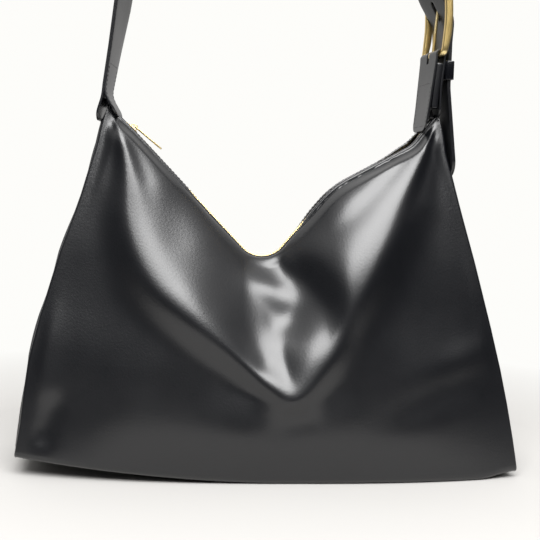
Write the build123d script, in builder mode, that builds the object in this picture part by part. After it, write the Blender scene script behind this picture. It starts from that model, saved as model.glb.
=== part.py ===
from build123d import *
import os
from math import asin, cos, exp, floor, pi, sin

# A slouchy leather hobo bag with a zip between its two peaks and a buckled strap.
# Millimetres. +Z up, the front faces -Y, the origin is the middle of the base's underside.

# ---------------------------------------------------------------- driving sizes
leather = 1.4
cloth = 0.6
pocket_rows = 3
soft_gap = 0.3
base_width = 400.0
base_depth = 132.0
end_depth = 96.0
end_fullness = 3
board_thickness = 2.0
board_margin = 6.0
belly = 4.0
ridge_height = 7.0
ridge_width = 20.0
hollow_depth = 6.5
hollow_width = 30.0
hollow_rise = 46.0
tuck_depth = 3.0
tuck_width = 26.0
tuck_drop = 40.0
highest_crest = 0.84
gusset_swell_foot = 4.0
gusset_swell_head = 2.6

peak_spread = 262.0
peak_height = 291.0
valley_shift = -6.2
valley_drop = 127.7
shoulder_inset = 79.9
shoulder_drop = 59.4
crest_inset = 15.0
crest_drop = 23.2
valley_radius = 22.0
shoulder_radius = 80.0
crest_radius = 25.0

tape_thickness = 0.5
tape_edge = 8.0
row_gap = 0.5
tooth_reach = 2.0
tooth_height = 1.3
tooth_pitch = 2.0
tooth_width = 0.8
facing_width = 5.6
chain_start = 17.0
chain_end_margin = 12.0
stop_length = 2.4

slider_rest = 22.0
slider_length = 9.0
plate_thickness = 0.75
slider_corner = 1.4
tooth_clearance = 0.2
post_thickness = 0.26
post_length = 1.6
side_wall = 0.55
bail_width = 1.4
bail_length = 6.4
bail_height = 3.8
bail_wire = 1.5
pull_length = 29.0
pull_width = 5.0
pull_thickness = 1.4
pull_end_bar = 1.8
eye_length = 3.0
metal_gap = 0.3

strap_width = 40.0
strap_layer = 1.7
swing_rise = 25.0
swing_gap = 0.4
swing_range = 55.0
tongue_thickness = 4.4
tongue_half_width = 10.0
tongue_rise = 11.0
flap_overlap = 10.0
fork_rise = 14.0
strap_knee = (9.0, 139.0)
strap_shoulder = (47.0, 249.0)
strap_bend = (91.0, 297.0)
strap_crest = (155.0, 293.0)
strap_radii = [250.0, 150.0, 65.0, 55.0, 25.0, 60.0]
heel_rise = 27.0
lean_rise = 13.0
tail_kick = 11.6
tail_drop = 73.0
hole_pitch = 25.0
hole_diameter = 4.0
prong_slot = 18.0

bar_diameter = 4.4
frame_length = 57.0
frame_bow = 3.5
frame_bar = 4.5
frame_thickness = 4.0
frame_play = 1.5
prong_width = 2.6
prong_thickness = 2.4
prong_ring_wall = 1.6
prong_running_gap = 0.08
keeper_height = 14.0
keeper_wall = 1.2
keeper_rise = 8.0

# ---------------------------------------------------------------- derived sizes
peak_x = peak_spread / 2
valley_corner = (valley_shift, peak_height - valley_drop)
shoulder_corner = (peak_x - shoulder_inset, peak_height - shoulder_drop)
crest_corner = (peak_x - crest_inset, peak_height - crest_drop)
swing_height = peak_height + swing_rise
flap_foot = peak_height - flap_overlap
inner_flap_foot = peak_height + 1
fork_height = swing_height + fork_rise
keeper_foot = swing_height + keeper_rise
heel_height = swing_height + heel_rise
lean_height = heel_height + lean_rise
half_width = base_width / 2
half_depth = base_depth / 2
side_x = half_width - gusset_swell_foot
floor_top = leather + board_thickness + cloth
tooth_inner = row_gap / 2
tooth_outer = tooth_inner + tooth_reach
slider_half_width = tooth_outer + metal_gap + side_wall
facing_inner = slider_half_width + metal_gap
facing_outer = facing_inner + facing_width
panel_head = facing_outer + soft_gap
strap_half = strap_width / 2
leg_inside = tongue_thickness / 2 + soft_gap
leg_centre = leg_inside + strap_layer / 2
leg_outside = leg_inside + strap_layer
loop_radius = bar_diameter / 2 + soft_gap + strap_layer / 2

# ---------------------------------------------------------------- the zip's path
with BuildLine(Plane.XZ) as zip_line:
    FilletPolyline(
        (-peak_x, peak_height),
        valley_corner,
        shoulder_corner,
        crest_corner,
        (peak_x, peak_height),
        radius=[valley_radius, shoulder_radius, crest_radius],
    )
zip_path = zip_line.wires()[0]
zip_length = zip_path.length


def zip_frame(distance):
    """A plane on the zip: X along it, Y across the bag, Z out of the teeth's top."""
    place = zip_path.position_at(distance, position_mode=PositionMode.LENGTH)
    along = zip_path.tangent_at(distance, position_mode=PositionMode.LENGTH)
    return Plane(origin=place, x_dir=along, z_dir=along.cross(Vector(0, 1, 0)))


# ---------------------------------------------------------------- the soft walls
# A panel is a fan of columns. Each column stands on the base and ends at the zip, and
# lies in its own plane, so a column's outline is drawn as (half depth, height up it).
columns = [0, 0.05, 0.15, 0.27, 0.38, 0.484, 0.55, 0.64, 0.76, 0.88, 0.95, 1]

# A fold runs from peak to peak through a low point, with a hollow above it and a tuck
# below. Its corners are shares of the peaks' half spread and height.
front_fold = [
    (-0.98, 0.98),
    (-0.79, 0.65),
    (-0.38, 0.375),
    (0.115, 0.237),
    (0.37, 0.43),
    (0.7, 0.71),
    (0.97, 0.97),
]
back_fold = [(-0.98, 0.98), (-0.67, 0.67), (-0.2, 0.385), (0.02, 0.28), (0.44, 0.5), (0.97, 0.97)]


def column_foot(t):
    return Vector(side_x * (2 * t - 1), 0, 0)


def column_plane(t, side):
    """side is -1 for the front of the bag and 1 for the back."""
    up = zip_path.position_at(t) - column_foot(t)
    across = Vector(0, side, 0)
    return Plane(origin=column_foot(t), x_dir=across, z_dir=across.cross(up))


def column_length(t):
    return (zip_path.position_at(t) - column_foot(t)).length


def foot_half_depth(t):
    fullness = 1 - abs(2 * t - 1) ** end_fullness
    return end_depth / 2 + (base_depth - end_depth) / 2 * fullness


def squareness(t):
    return 1.78 - 0.38 * sin(2 * pi * t) ** 2 - 0.22 * sin(pi * t) ** 2


def wall_length(t):
    return column_length(t) + leather - soft_gap


def fold_share(t, fold):
    """The share of column t at which the fold crosses it."""
    foot = column_foot(t)
    rise = zip_path.position_at(t) - foot
    corners = [(x * peak_x - foot.X, z * peak_height) for x, z in fold]
    for (x, z), (next_x, next_z) in zip(corners, corners[1:]):
        cross = rise.X * (next_z - z) - rise.Z * (next_x - x)
        if 0 <= (x * rise.Z - z * rise.X) / cross <= 1:
            return (x * (next_z - z) - z * (next_x - x)) / cross
    return fold[0][1]


def relief(t, share, side):
    """How far a fold pushes the wall out at a share of column t."""
    fold = front_fold if side < 0 else back_fold
    above = (share - fold_share(t, fold)) * column_length(t)
    height = ridge_height * exp(-((above / ridge_width) ** 2))
    height -= hollow_depth * exp(-(((above - hollow_rise) / hollow_width) ** 2))
    height -= tuck_depth * exp(-(((above + tuck_drop) / tuck_width) ** 2))
    return height * min(1, 8 * t * (1 - t)) * min(1, 8 * (1 - share)) * min(1, 12 * share)


def wall_point(t, share, side):
    """A point of the bag's outer face at a share of column t, from its foot up to the zip."""
    turn = asin(min(share, 1) ** (1 / squareness(t)))
    depth = panel_head + (foot_half_depth(t) - panel_head) * max(cos(turn), 0) ** squareness(t)
    depth += belly * sin(pi * share) * sin(pi * t) + relief(t, share, side)
    return Vector(depth, wall_length(t) * share)


def share_at_height(t, height):
    """The share at which a column passes a height above the base's underside."""
    return height * column_length(t) / zip_path.position_at(t).Z / wall_length(t)


def wall_outline(t, side, inset, foot):
    """Points of the outer face moved inwards by inset, from the height foot up to the zip."""
    low = share_at_height(t, foot)
    crest = min(fold_share(t, front_fold if side < 0 else back_fold), highest_crest)
    shares = [low + (crest - low) * step for step in (0, 0.4, 0.75, 1)]
    shares += [crest + (1 - crest) * step for step in (0.3, 0.65, 1)]
    points = []
    for share in shares:
        ahead = wall_point(t, min(share + 0.01, 1), side)
        ahead -= wall_point(t, max(share - 0.01, 0), side)
        inward = Vector(-ahead.Y, ahead.X).normalized()
        if share == low:
            inward = Vector(-1, 0)
        if share == shares[-1]:
            inward = Vector(0, -1)
        points.append(wall_point(t, share, side) + inward * inset)
    return points


def wall_section(t, side, inset, thickness, foot, rows=7):
    """A wall's section in column t, or its lowest rows."""
    outer = wall_outline(t, side, inset, foot)[:rows]
    inner = wall_outline(t, side, inset + thickness, foot)[:rows]
    with BuildSketch(column_plane(t, side)) as section:
        with BuildLine():
            Polyline(*outer, *reversed(inner), close=True)
        make_face()
    return section.sketch


def base_outline():
    """The base's plan: the columns' feet, with a shallow arc across each end."""
    front = [(column_foot(t).X, -foot_half_depth(t)) for t in columns]
    back = [(x, -y) for x, y in reversed(front)]
    with BuildSketch() as outline:
        with BuildLine():
            Polyline(*front)
            ThreePointArc(front[-1], (half_width, 0), back[0])
            Polyline(*back)
            ThreePointArc(back[-1], (-half_width, 0), front[0])
        make_face()
    return outline.sketch


def base_slab(inset, low, thickness):
    plan = offset(base_outline(), amount=-inset, mode=Mode.PRIVATE) if inset else base_outline()
    return extrude(plan.moved(Location((0, 0, low))), amount=thickness, mode=Mode.PRIVATE)


def gusset_section(side, height, inset, thickness):
    """A level strip across one end of the bag at a height, bulging outwards."""
    t = (side + 1) / 2
    up = (zip_path.position_at(t) - column_foot(t)).normalized()
    place = column_foot(t) + up * (height / up.Z)
    half = wall_point(t, share_at_height(t, height), side).X - inset
    share = height / peak_height
    swell = gusset_swell_foot + (gusset_swell_head - gusset_swell_foot) * share
    crest = swell - min(inset, leather + soft_gap)
    with BuildSketch(Plane(origin=place, x_dir=(0, -side, 0), z_dir=(0, 0, 1))) as section:
        with BuildLine():
            ThreePointArc((-half, 0), (0, crest), (half, 0))
            Line((half, 0), (half - thickness, 0))
            ThreePointArc((half - thickness, 0), (0, crest - thickness), (thickness - half, 0))
            Line((thickness - half, 0), (-half, 0))
        make_face()
    return section.sketch


gusset_head = flap_foot - 0.5
gusset_shares = [0, 0.05, 0.2, 0.5, 0.8, 1]


def gusset_sections(side, inset, thickness, foot):
    reach = gusset_head - foot
    return [
        gusset_section(side, foot + share * reach, inset, thickness) for share in gusset_shares
    ]


with BuildPart() as front_panel:
    loft([wall_section(t, -1, 0, leather, leather) for t in columns], ruled=True)
front_panel.part.label = "front_panel"

with BuildPart() as back_panel:
    loft([wall_section(t, 1, 0, leather, leather) for t in columns], ruled=True)
back_panel.part.label = "back_panel"

with BuildPart() as left_gusset:
    loft(gusset_sections(-1, 0, leather, leather), ruled=True)
left_gusset.part.label = "left_gusset"

with BuildPart() as right_gusset:
    loft(gusset_sections(1, 0, leather, leather), ruled=True)
right_gusset.part.label = "right_gusset"

with BuildPart() as base_panel:
    add(base_slab(0, 0, leather))
base_panel.part.label = "base_panel"

# ---------------------------------------------------------------- inside the bag
lining_inset = leather + soft_gap

with BuildPart() as base_board:
    add(base_slab(leather + board_margin, leather, board_thickness))
base_board.part.label = "base_board"

with BuildPart() as lining_base:
    add(base_slab(leather + 3 * soft_gap, leather + board_thickness, cloth))
lining_base.part.label = "lining_base"

with BuildPart() as lining_front:
    loft([wall_section(t, -1, lining_inset, cloth, floor_top) for t in columns], ruled=True)
lining_front.part.label = "lining_front"

with BuildPart() as lining_back:
    loft([wall_section(t, 1, lining_inset, cloth, floor_top) for t in columns], ruled=True)
lining_back.part.label = "lining_back"

with BuildPart() as lining_left:
    loft(gusset_sections(-1, lining_inset, cloth, floor_top), ruled=True)
lining_left.part.label = "lining_left"

with BuildPart() as lining_right:
    loft(gusset_sections(1, lining_inset, cloth, floor_top), ruled=True)
lining_right.part.label = "lining_right"

pocket_inset = lining_inset + cloth + soft_gap
pocket_columns = columns[3:8]

with BuildPart() as slip_pocket:
    loft(
        [wall_section(t, 1, pocket_inset, cloth, floor_top, pocket_rows) for t in pocket_columns],
        ruled=True,
    )
slip_pocket.part.label = "slip_pocket"

# ---------------------------------------------------------------- bands along a path
def shifted(path, amount):
    """A path in the XY plane moved sideways, to its left where amount is positive."""
    if amount == 0:
        return path
    side = Side.LEFT if amount > 0 else Side.RIGHT
    return path.offset_2d(abs(amount), side=side, closed=False)


def band(path, low, high):
    """The strip of the XZ plane between a path moved by low and the path moved by high."""
    near = shifted(path, low)
    far = shifted(path, high)
    with BuildSketch(Plane.XZ) as strip:
        with BuildLine():
            add(near)
            add(far)
            for end in (near @ 0, near @ 1):
                Line(end, min((far @ 0, far @ 1), key=lambda other: (other - end).length))
        make_face()
    return strip.sketch


with BuildLine() as flat_zip:
    FilletPolyline(
        (-peak_x, peak_height),
        valley_corner,
        shoulder_corner,
        crest_corner,
        (peak_x, peak_height),
        radius=[valley_radius, shoulder_radius, crest_radius],
    )
flat_zip_path = flat_zip.wires()[0]


def across(sketch, near, far):
    """Extrude a sketch in the XZ plane so that it fills Y from near to far."""
    moved = sketch.moved(Location((0, near, 0)))
    return extrude(moved, amount=near - far, mode=Mode.PRIVATE)


half_tape = tape_thickness / 2
tape_band = band(flat_zip_path, -half_tape, half_tape)
facing_band = band(flat_zip_path, half_tape, half_tape + leather)

# ---------------------------------------------------------------- the zip
with BuildPart() as zip_tape_front:
    add(across(tape_band, -tape_edge, -tooth_outer))
zip_tape_front.part.label = "zip_tape_front"

with BuildPart() as zip_tape_back:
    add(across(tape_band, tooth_outer, tape_edge))
zip_tape_back.part.label = "zip_tape_back"

with BuildPart() as zip_facing_front:
    add(across(facing_band, -facing_outer, -facing_inner))
zip_facing_front.part.label = "zip_facing_front"

with BuildPart() as zip_facing_back:
    add(across(facing_band, facing_inner, facing_outer))
zip_facing_back.part.label = "zip_facing_back"

chain_end = zip_length - chain_end_margin
tooth_count = floor((chain_end - chain_start - tooth_pitch) / tooth_pitch)
tooth_middle = tooth_inner + tooth_reach / 2
front_teeth = [chain_start + tooth_pitch * (k + 0.25) for k in range(tooth_count)]
back_teeth = [chain_start + tooth_pitch * (k + 0.75) for k in range(tooth_count)]

with BuildPart() as zip_teeth_front:
    with Locations(*[zip_frame(d).location * Pos(0, -tooth_middle, 0) for d in front_teeth]):
        Box(tooth_width, tooth_reach, tooth_height)
zip_teeth_front.part.label = "zip_teeth_front"

with BuildPart() as zip_teeth_back:
    with Locations(*[zip_frame(d).location * Pos(0, tooth_middle, 0) for d in back_teeth]):
        Box(tooth_width, tooth_reach, tooth_height)
zip_teeth_back.part.label = "zip_teeth_back"

with BuildPart() as zip_top_stops:
    stop_place = zip_frame(chain_start - stop_length / 2).location
    with Locations(stop_place * Pos(0, tooth_middle, 0), stop_place * Pos(0, -tooth_middle, 0)):
        Box(stop_length, tooth_reach, tooth_height + tooth_clearance)
zip_top_stops.part.label = "zip_top_stops"

with BuildPart() as zip_bottom_stop:
    with Locations(zip_frame(chain_end + stop_length / 2).location):
        Box(stop_length, 2 * tooth_outer, tooth_height + tooth_clearance)
zip_bottom_stop.part.label = "zip_bottom_stop"

# ---------------------------------------------------------------- slider and pull
slider_plane = zip_frame(slider_rest)
plate_low = tooth_height / 2 + tooth_clearance
plate_top = plate_low + plate_thickness
wall_foot = half_tape + soft_gap
bail_window = bail_length / 2 - bail_wire
hinge_rise = plate_top + bail_window
bail_plane = Plane(
    origin=slider_plane.from_local_coords((0, 0, hinge_rise)),
    x_dir=slider_plane.x_dir,
    z_dir=-slider_plane.y_dir,
)

with BuildPart() as zip_slider:
    for low in (plate_low, -plate_top):
        with BuildSketch(slider_plane.offset(low)):
            RectangleRounded(slider_length, 2 * slider_half_width, slider_corner)
        extrude(amount=plate_thickness)
    wall_height = plate_low - wall_foot
    wall_y = slider_half_width - side_wall / 2
    with Locations(
        *[
            slider_plane.location * Pos(0, side * wall_y, level * (wall_foot + wall_height / 2))
            for side in (-1, 1)
            for level in (-1, 1)
        ]
    ):
        Box(slider_length - 2 * slider_corner, side_wall, wall_height)
    with Locations(slider_plane.location * Pos(slider_corner - slider_length / 2, 0, 0)):
        Box(post_length, post_thickness, 2 * plate_low)
    with BuildSketch(bail_plane):
        with BuildLine():
            Line((-bail_length / 2, -bail_window), (-bail_length / 2, 0.4))
            ThreePointArc(
                (-bail_length / 2, 0.4),
                (0, bail_height - bail_window),
                (bail_length / 2, 0.4),
            )
            Line((bail_length / 2, 0.4), (bail_length / 2, -bail_window))
            Line((bail_length / 2, -bail_window), (-bail_length / 2, -bail_window))
        make_face()
        Circle(bail_window - 0.2, mode=Mode.SUBTRACT)
    extrude(amount=bail_width / 2, both=True)
zip_slider.part.label = "zip_slider"

eye_half = bail_width / 2 + metal_gap

with BuildPart() as zip_pull:
    with BuildSketch(bail_plane):
        with Locations((pull_length / 2 - pull_end_bar / 2, 0)):
            RectangleRounded(pull_length, pull_thickness, pull_thickness / 2 - 0.1)
    extrude(amount=pull_width / 2, both=True)
    with Locations(bail_plane.location * Pos(pull_end_bar / 2 + eye_length / 2, 0, 0)):
        Box(eye_length, pull_width, 2 * eye_half, mode=Mode.SUBTRACT)
zip_pull.part.label = "zip_pull"

# ---------------------------------------------------------------- tongues, flaps and feet
def swing_plane(x):
    """The YZ plane at x, with its origin on the strap's swing axis."""
    return Plane(origin=(x, 0, swing_height), x_dir=(0, 1, 0), z_dir=(1, 0, 0))


def flap(x, foot):
    """A leather flap in the YZ plane, cut away wherever the swinging strap passes."""
    height = swing_height - foot
    with BuildSketch(swing_plane(x)) as face:
        with Locations((0, -height / 2)):
            Rectangle(strap_width, height)
        Circle(strap_half + swing_gap, mode=Mode.SUBTRACT)
        for turn in (-swing_range, swing_range):
            with Locations(Location((0, 0), turn) * Pos(0, strap_width)):
                Rectangle(strap_width + 2 * swing_gap, 2 * strap_width, mode=Mode.SUBTRACT)
    return extrude(face.sketch, amount=strap_layer / 2, both=True, mode=Mode.PRIVATE)


def peak_tongue(side):
    foot = peak_height + half_tape + leather + soft_gap
    with BuildSketch(Plane.XY.offset(foot)) as face:
        with Locations((side * peak_x, 0)):
            Rectangle(tongue_thickness, 2 * tongue_half_width)
    return extrude(face.sketch, amount=tongue_rise - (foot - peak_height), mode=Mode.PRIVATE)


with BuildPart() as left_peak_tongue:
    add(peak_tongue(-1))
left_peak_tongue.part.label = "left_peak_tongue"

with BuildPart() as right_peak_tongue:
    add(peak_tongue(1))
right_peak_tongue.part.label = "right_peak_tongue"

with BuildPart() as left_flap_outer:
    add(flap(-peak_x - leg_centre, flap_foot))
left_flap_outer.part.label = "left_flap_outer"

with BuildPart() as left_flap_inner:
    add(flap(-peak_x + leg_centre, inner_flap_foot))
left_flap_inner.part.label = "left_flap_inner"

with BuildPart() as tab_foot_outer:
    add(flap(peak_x + leg_centre, flap_foot))
tab_foot_outer.part.label = "tab_foot_outer"

with BuildPart() as tab_foot_inner:
    add(flap(peak_x - leg_centre, inner_flap_foot))
tab_foot_inner.part.label = "tab_foot_inner"

# ---------------------------------------------------------------- the strap
tail_x = peak_x + leg_outside + keeper_wall + soft_gap + strap_layer
tail_end = (tail_x + tail_kick, swing_height - tail_drop)
crest_point = (strap_crest[0] - peak_x, peak_height + strap_crest[1])
with BuildLine() as strap_line:
    FilletPolyline(
        (-peak_x, fork_height),
        (strap_knee[0] - peak_x, peak_height + strap_knee[1]),
        (strap_shoulder[0] - peak_x, peak_height + strap_shoulder[1]),
        (strap_bend[0] - peak_x, peak_height + strap_bend[1]),
        crest_point,
        (tail_x, lean_height),
        (tail_x, swing_height),
        tail_end,
        radius=strap_radii,
    )
strap_path = strap_line.wires()[0]

round_end_cut_width = 3 * strap_width


def cut_round_end(x):
    """Trim what hangs below the swing axis at x to a half disc about the axis."""
    with BuildSketch(swing_plane(x)) as waste:
        with Locations((0, -strap_width / 2)):
            Rectangle(round_end_cut_width, strap_width)
        Circle(strap_half, mode=Mode.SUBTRACT)
    return extrude(waste.sketch, amount=strap_layer, both=True, mode=Mode.PRIVATE)


def fork_leg(x, layer_x):
    """A layer of the strap from its round end at x up to where the two layers join."""
    with BuildSketch(Plane.XZ) as leg:
        with BuildLine():
            Polyline(
                (x, swing_height - strap_half),
                (x, swing_height + 3),
                (layer_x, fork_height + 0.6),
            )
        trace(line_width=strap_layer)
    return leg.sketch


def hole_place(distance):
    place = strap_path.position_at(distance, position_mode=PositionMode.LENGTH)
    along = strap_path.tangent_at(distance, position_mode=PositionMode.LENGTH)
    return Plane(
        origin=(place.X, 0, place.Y),
        x_dir=(along.X, 0, along.Y),
        z_dir=Vector(along.X, 0, along.Y).cross(Vector(0, 1, 0)),
    )


strap_length = strap_path.length
tail_length = (Vector(tail_x, swing_height) - Vector(*tail_end)).length
lean = Vector(tail_x, lean_height) - Vector(*crest_point)
slot_back = (tail_x - peak_x - 0.4) * lean.length / abs(lean.X)
slot_distance = strap_length - tail_length - (lean_height - swing_height) - slot_back + 1


def punch_holes():
    """The prong's slot and the spare holes either side of it, ready to subtract."""
    with BuildPart() as punches:
        with BuildSketch(hole_place(slot_distance)):
            SlotOverall(prong_slot, hole_diameter)
        extrude(amount=2 * strap_layer, both=True)
        for step in (-2, -1, 3, 4):
            with BuildSketch(hole_place(slot_distance + step * hole_pitch)):
                Circle(hole_diameter / 2)
            extrude(amount=2 * strap_layer, both=True)
    return punches.part


with BuildPart() as strap_outer_layer:
    add(across(band(strap_path, 0, strap_layer), -strap_half, strap_half))
    add(across(fork_leg(-peak_x - leg_centre, -peak_x - strap_layer * 0.6), -strap_half, strap_half))
    add(cut_round_end(-peak_x - leg_centre), mode=Mode.SUBTRACT)
    add(punch_holes(), mode=Mode.SUBTRACT)
strap_outer_layer.part.label = "strap_outer_layer"

with BuildPart() as strap_inner_layer:
    add(across(band(strap_path, -strap_layer, 0), -strap_half, strap_half))
    add(across(fork_leg(-peak_x + leg_centre, -peak_x + strap_layer * 0.6), -strap_half, strap_half))
    add(cut_round_end(-peak_x + leg_centre), mode=Mode.SUBTRACT)
    add(punch_holes(), mode=Mode.SUBTRACT)
strap_inner_layer.part.label = "strap_inner_layer"

# ---------------------------------------------------------------- buckle tab and keeper
ring_half_width = prong_width / 2 + 0.7
ring_radius = bar_diameter / 2 + prong_running_gap + prong_ring_wall

with BuildPart() as buckle_tab:
    with BuildSketch(Plane.XZ):
        with BuildLine():
            Line((peak_x - loop_radius, swing_height - strap_half), (peak_x - loop_radius, heel_height))
            ThreePointArc(
                (peak_x - loop_radius, heel_height),
                (peak_x, heel_height + loop_radius),
                (peak_x + loop_radius, heel_height),
            )
            Line((peak_x + loop_radius, heel_height), (peak_x + loop_radius, swing_height - strap_half))
        trace(line_width=strap_layer)
    extrude(amount=strap_half, both=True)
    add(cut_round_end(peak_x - loop_radius), mode=Mode.SUBTRACT)
    add(cut_round_end(peak_x + loop_radius), mode=Mode.SUBTRACT)
    with Locations((peak_x, 0, heel_height)):
        slot_half = ring_half_width + soft_gap
        Box(4 * loop_radius, 2 * slot_half, 2 * loop_radius + 2 * strap_layer, mode=Mode.SUBTRACT)
buckle_tab.part.label = "buckle_tab"

with BuildPart() as strap_keeper:
    with BuildSketch(Plane.XY.offset(keeper_foot)):
        keeper_inner = (2 * strap_layer + 2 * soft_gap, strap_width + 2 * soft_gap)
        with Locations((tail_x, 0)):
            Rectangle(keeper_inner[0] + 2 * keeper_wall, keeper_inner[1] + 2 * keeper_wall)
            Rectangle(*keeper_inner, mode=Mode.SUBTRACT)
    extrude(amount=keeper_height)
    fillet(strap_keeper.part.edges().filter_by(Axis.Z).group_by(Axis.X)[-1], keeper_wall * 0.9)
strap_keeper.part.label = "strap_keeper"

# ---------------------------------------------------------------- buckle
frame_half_width = strap_half + frame_play + frame_bar
end_height = heel_height + frame_length

with BuildPart() as buckle_frame:
    with BuildSketch(Plane.XZ):
        with BuildLine():
            ThreePointArc(
                (peak_x, heel_height),
                (peak_x + frame_bow, heel_height + frame_length / 2),
                (peak_x, end_height),
            )
        trace(line_width=frame_thickness)
    extrude(amount=frame_half_width, both=True)
    with BuildSketch(Plane.YZ.offset(peak_x - 10)):
        with Locations((0, heel_height + frame_length / 2)):
            Rectangle(2 * (strap_half + frame_play), frame_length + frame_bar)
    extrude(amount=30, mode=Mode.SUBTRACT)
    for height in (heel_height, end_height):
        with BuildSketch(Plane.XZ.offset(-frame_half_width)):
            with Locations((peak_x, height)):
                Circle(bar_diameter / 2)
        extrude(amount=2 * frame_half_width)
buckle_frame.part.label = "buckle_frame"

with BuildPart() as buckle_prong:
    with BuildSketch(Plane.XZ):
        with BuildLine():
            ThreePointArc(
                (peak_x, heel_height + bar_diameter / 2 + prong_ring_wall / 2),
                (peak_x + 0.4, heel_height + frame_length / 2),
                (peak_x + (bar_diameter + prong_thickness) / 2 + metal_gap, end_height + 1),
            )
        trace(line_width=prong_thickness)
        with Locations((peak_x, heel_height)):
            Circle(ring_radius)
    extrude(amount=prong_width / 2, both=True)
    with BuildSketch(Plane.XZ):
        with Locations((peak_x, heel_height)):
            Circle(ring_radius)
    extrude(amount=ring_half_width, both=True)
    with BuildSketch(Plane.XZ):
        with Locations((peak_x, heel_height)):
            Circle(bar_diameter / 2 + prong_running_gap)
    extrude(amount=strap_half, both=True, mode=Mode.SUBTRACT)
buckle_prong.part.label = "buckle_prong"

# ---------------------------------------------------------------- written files
os.makedirs("parts", exist_ok=True)
export_step(front_panel.part, "parts/front_panel.step")
export_step(back_panel.part, "parts/back_panel.step")
export_step(left_gusset.part, "parts/left_gusset.step")
export_step(right_gusset.part, "parts/right_gusset.step")
export_step(base_panel.part, "parts/base_panel.step")
export_step(base_board.part, "parts/base_board.step")
export_step(lining_base.part, "parts/lining_base.step")
export_step(lining_front.part, "parts/lining_front.step")
export_step(lining_back.part, "parts/lining_back.step")
export_step(lining_left.part, "parts/lining_left.step")
export_step(lining_right.part, "parts/lining_right.step")
export_step(slip_pocket.part, "parts/slip_pocket.step")
export_step(zip_tape_front.part, "parts/zip_tape_front.step")
export_step(zip_tape_back.part, "parts/zip_tape_back.step")
export_step(zip_facing_front.part, "parts/zip_facing_front.step")
export_step(zip_facing_back.part, "parts/zip_facing_back.step")
export_step(zip_teeth_front.part, "parts/zip_teeth_front.step")
export_step(zip_teeth_back.part, "parts/zip_teeth_back.step")
export_step(zip_top_stops.part, "parts/zip_top_stops.step")
export_step(zip_bottom_stop.part, "parts/zip_bottom_stop.step")
export_step(zip_slider.part, "parts/zip_slider.step")
export_step(zip_pull.part, "parts/zip_pull.step")
export_step(left_peak_tongue.part, "parts/left_peak_tongue.step")
export_step(right_peak_tongue.part, "parts/right_peak_tongue.step")
export_step(left_flap_outer.part, "parts/left_flap_outer.step")
export_step(left_flap_inner.part, "parts/left_flap_inner.step")
export_step(tab_foot_outer.part, "parts/tab_foot_outer.step")
export_step(tab_foot_inner.part, "parts/tab_foot_inner.step")
export_step(strap_outer_layer.part, "parts/strap_outer_layer.step")
export_step(strap_inner_layer.part, "parts/strap_inner_layer.step")
export_step(buckle_tab.part, "parts/buckle_tab.step")
export_step(strap_keeper.part, "parts/strap_keeper.step")
export_step(buckle_frame.part, "parts/buckle_frame.step")
export_step(buckle_prong.part, "parts/buckle_prong.step")
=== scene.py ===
import bpy
import bmesh
import numpy as np
from math import cos, pi, radians, sin, tan
from mathutils import Matrix, Vector


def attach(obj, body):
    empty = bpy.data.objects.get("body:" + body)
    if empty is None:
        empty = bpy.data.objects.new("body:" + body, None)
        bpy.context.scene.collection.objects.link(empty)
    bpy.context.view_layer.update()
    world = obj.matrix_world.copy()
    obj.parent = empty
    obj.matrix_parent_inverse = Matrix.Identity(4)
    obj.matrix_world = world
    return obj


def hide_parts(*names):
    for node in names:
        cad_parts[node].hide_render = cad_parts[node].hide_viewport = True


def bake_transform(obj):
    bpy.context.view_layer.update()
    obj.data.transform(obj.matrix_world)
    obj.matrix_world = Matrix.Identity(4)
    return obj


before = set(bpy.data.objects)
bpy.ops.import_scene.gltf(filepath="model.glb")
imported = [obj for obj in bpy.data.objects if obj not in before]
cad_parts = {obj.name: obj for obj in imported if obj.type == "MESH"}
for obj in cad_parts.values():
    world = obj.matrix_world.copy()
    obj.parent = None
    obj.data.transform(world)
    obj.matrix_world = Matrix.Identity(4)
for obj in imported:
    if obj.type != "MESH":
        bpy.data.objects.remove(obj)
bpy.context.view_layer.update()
mm = 0.001
print("frame loaded with", len(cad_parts), "nodes")


# ---- node and material helpers
def fill(tree, socket, value):  # with a link or with a plain value
    if isinstance(value, bpy.types.NodeSocket):
        tree.links.new(value, socket)
    else:
        socket.default_value = value


def addNode(tree, kind, settings=None, **inputs):
    node = tree.nodes.new(kind)
    for name, value in (settings or {}).items():
        setattr(node, name, value)
    for name, value in inputs.items():
        fill(tree, node.inputs[name.replace("_", " ")], value)
    return node


def addMath(tree, operation, *values):
    node = addNode(tree, "ShaderNodeMath", {"operation": operation})
    for socket, value in zip(node.inputs, values):
        fill(tree, socket, value)
    return node.outputs[0]


def newGroup(name, inputs, outputs):
    group = bpy.data.node_groups.new(name, "ShaderNodeTree")
    for label, kind, value in inputs:
        socket = group.interface.new_socket(name=label, in_out="INPUT", socket_type=kind)
        if value is not None:
            socket.default_value = value
    for label in outputs:
        group.interface.new_socket(name=label, in_out="OUTPUT", socket_type="NodeSocketFloat")
    return group, group.nodes.new("NodeGroupInput"), group.nodes.new("NodeGroupOutput")


def closeGroup(group, result, **outputs):
    for label, value in outputs.items():
        group.links.new(value, result.inputs[label])
    return group


def blend(tree, factor, low, high, kind="RGBA"):
    mix = addNode(tree, "ShaderNodeMix", {"data_type": kind})
    first, out = (6, 2) if kind == "RGBA" else (2, 0)
    for place, value in ((0, factor), (first, low), (first + 1, high)):
        fill(tree, mix.inputs[place], value)
    return mix.outputs[out]


def remap(tree, value, low, high, fromLow=0.0, fromHigh=1.0):
    node = addNode(
        tree, "ShaderNodeMapRange", None, Value=value, From_Min=fromLow, From_Max=fromHigh,
        To_Min=low, To_Max=high,
    )
    return node.outputs[0]


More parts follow.
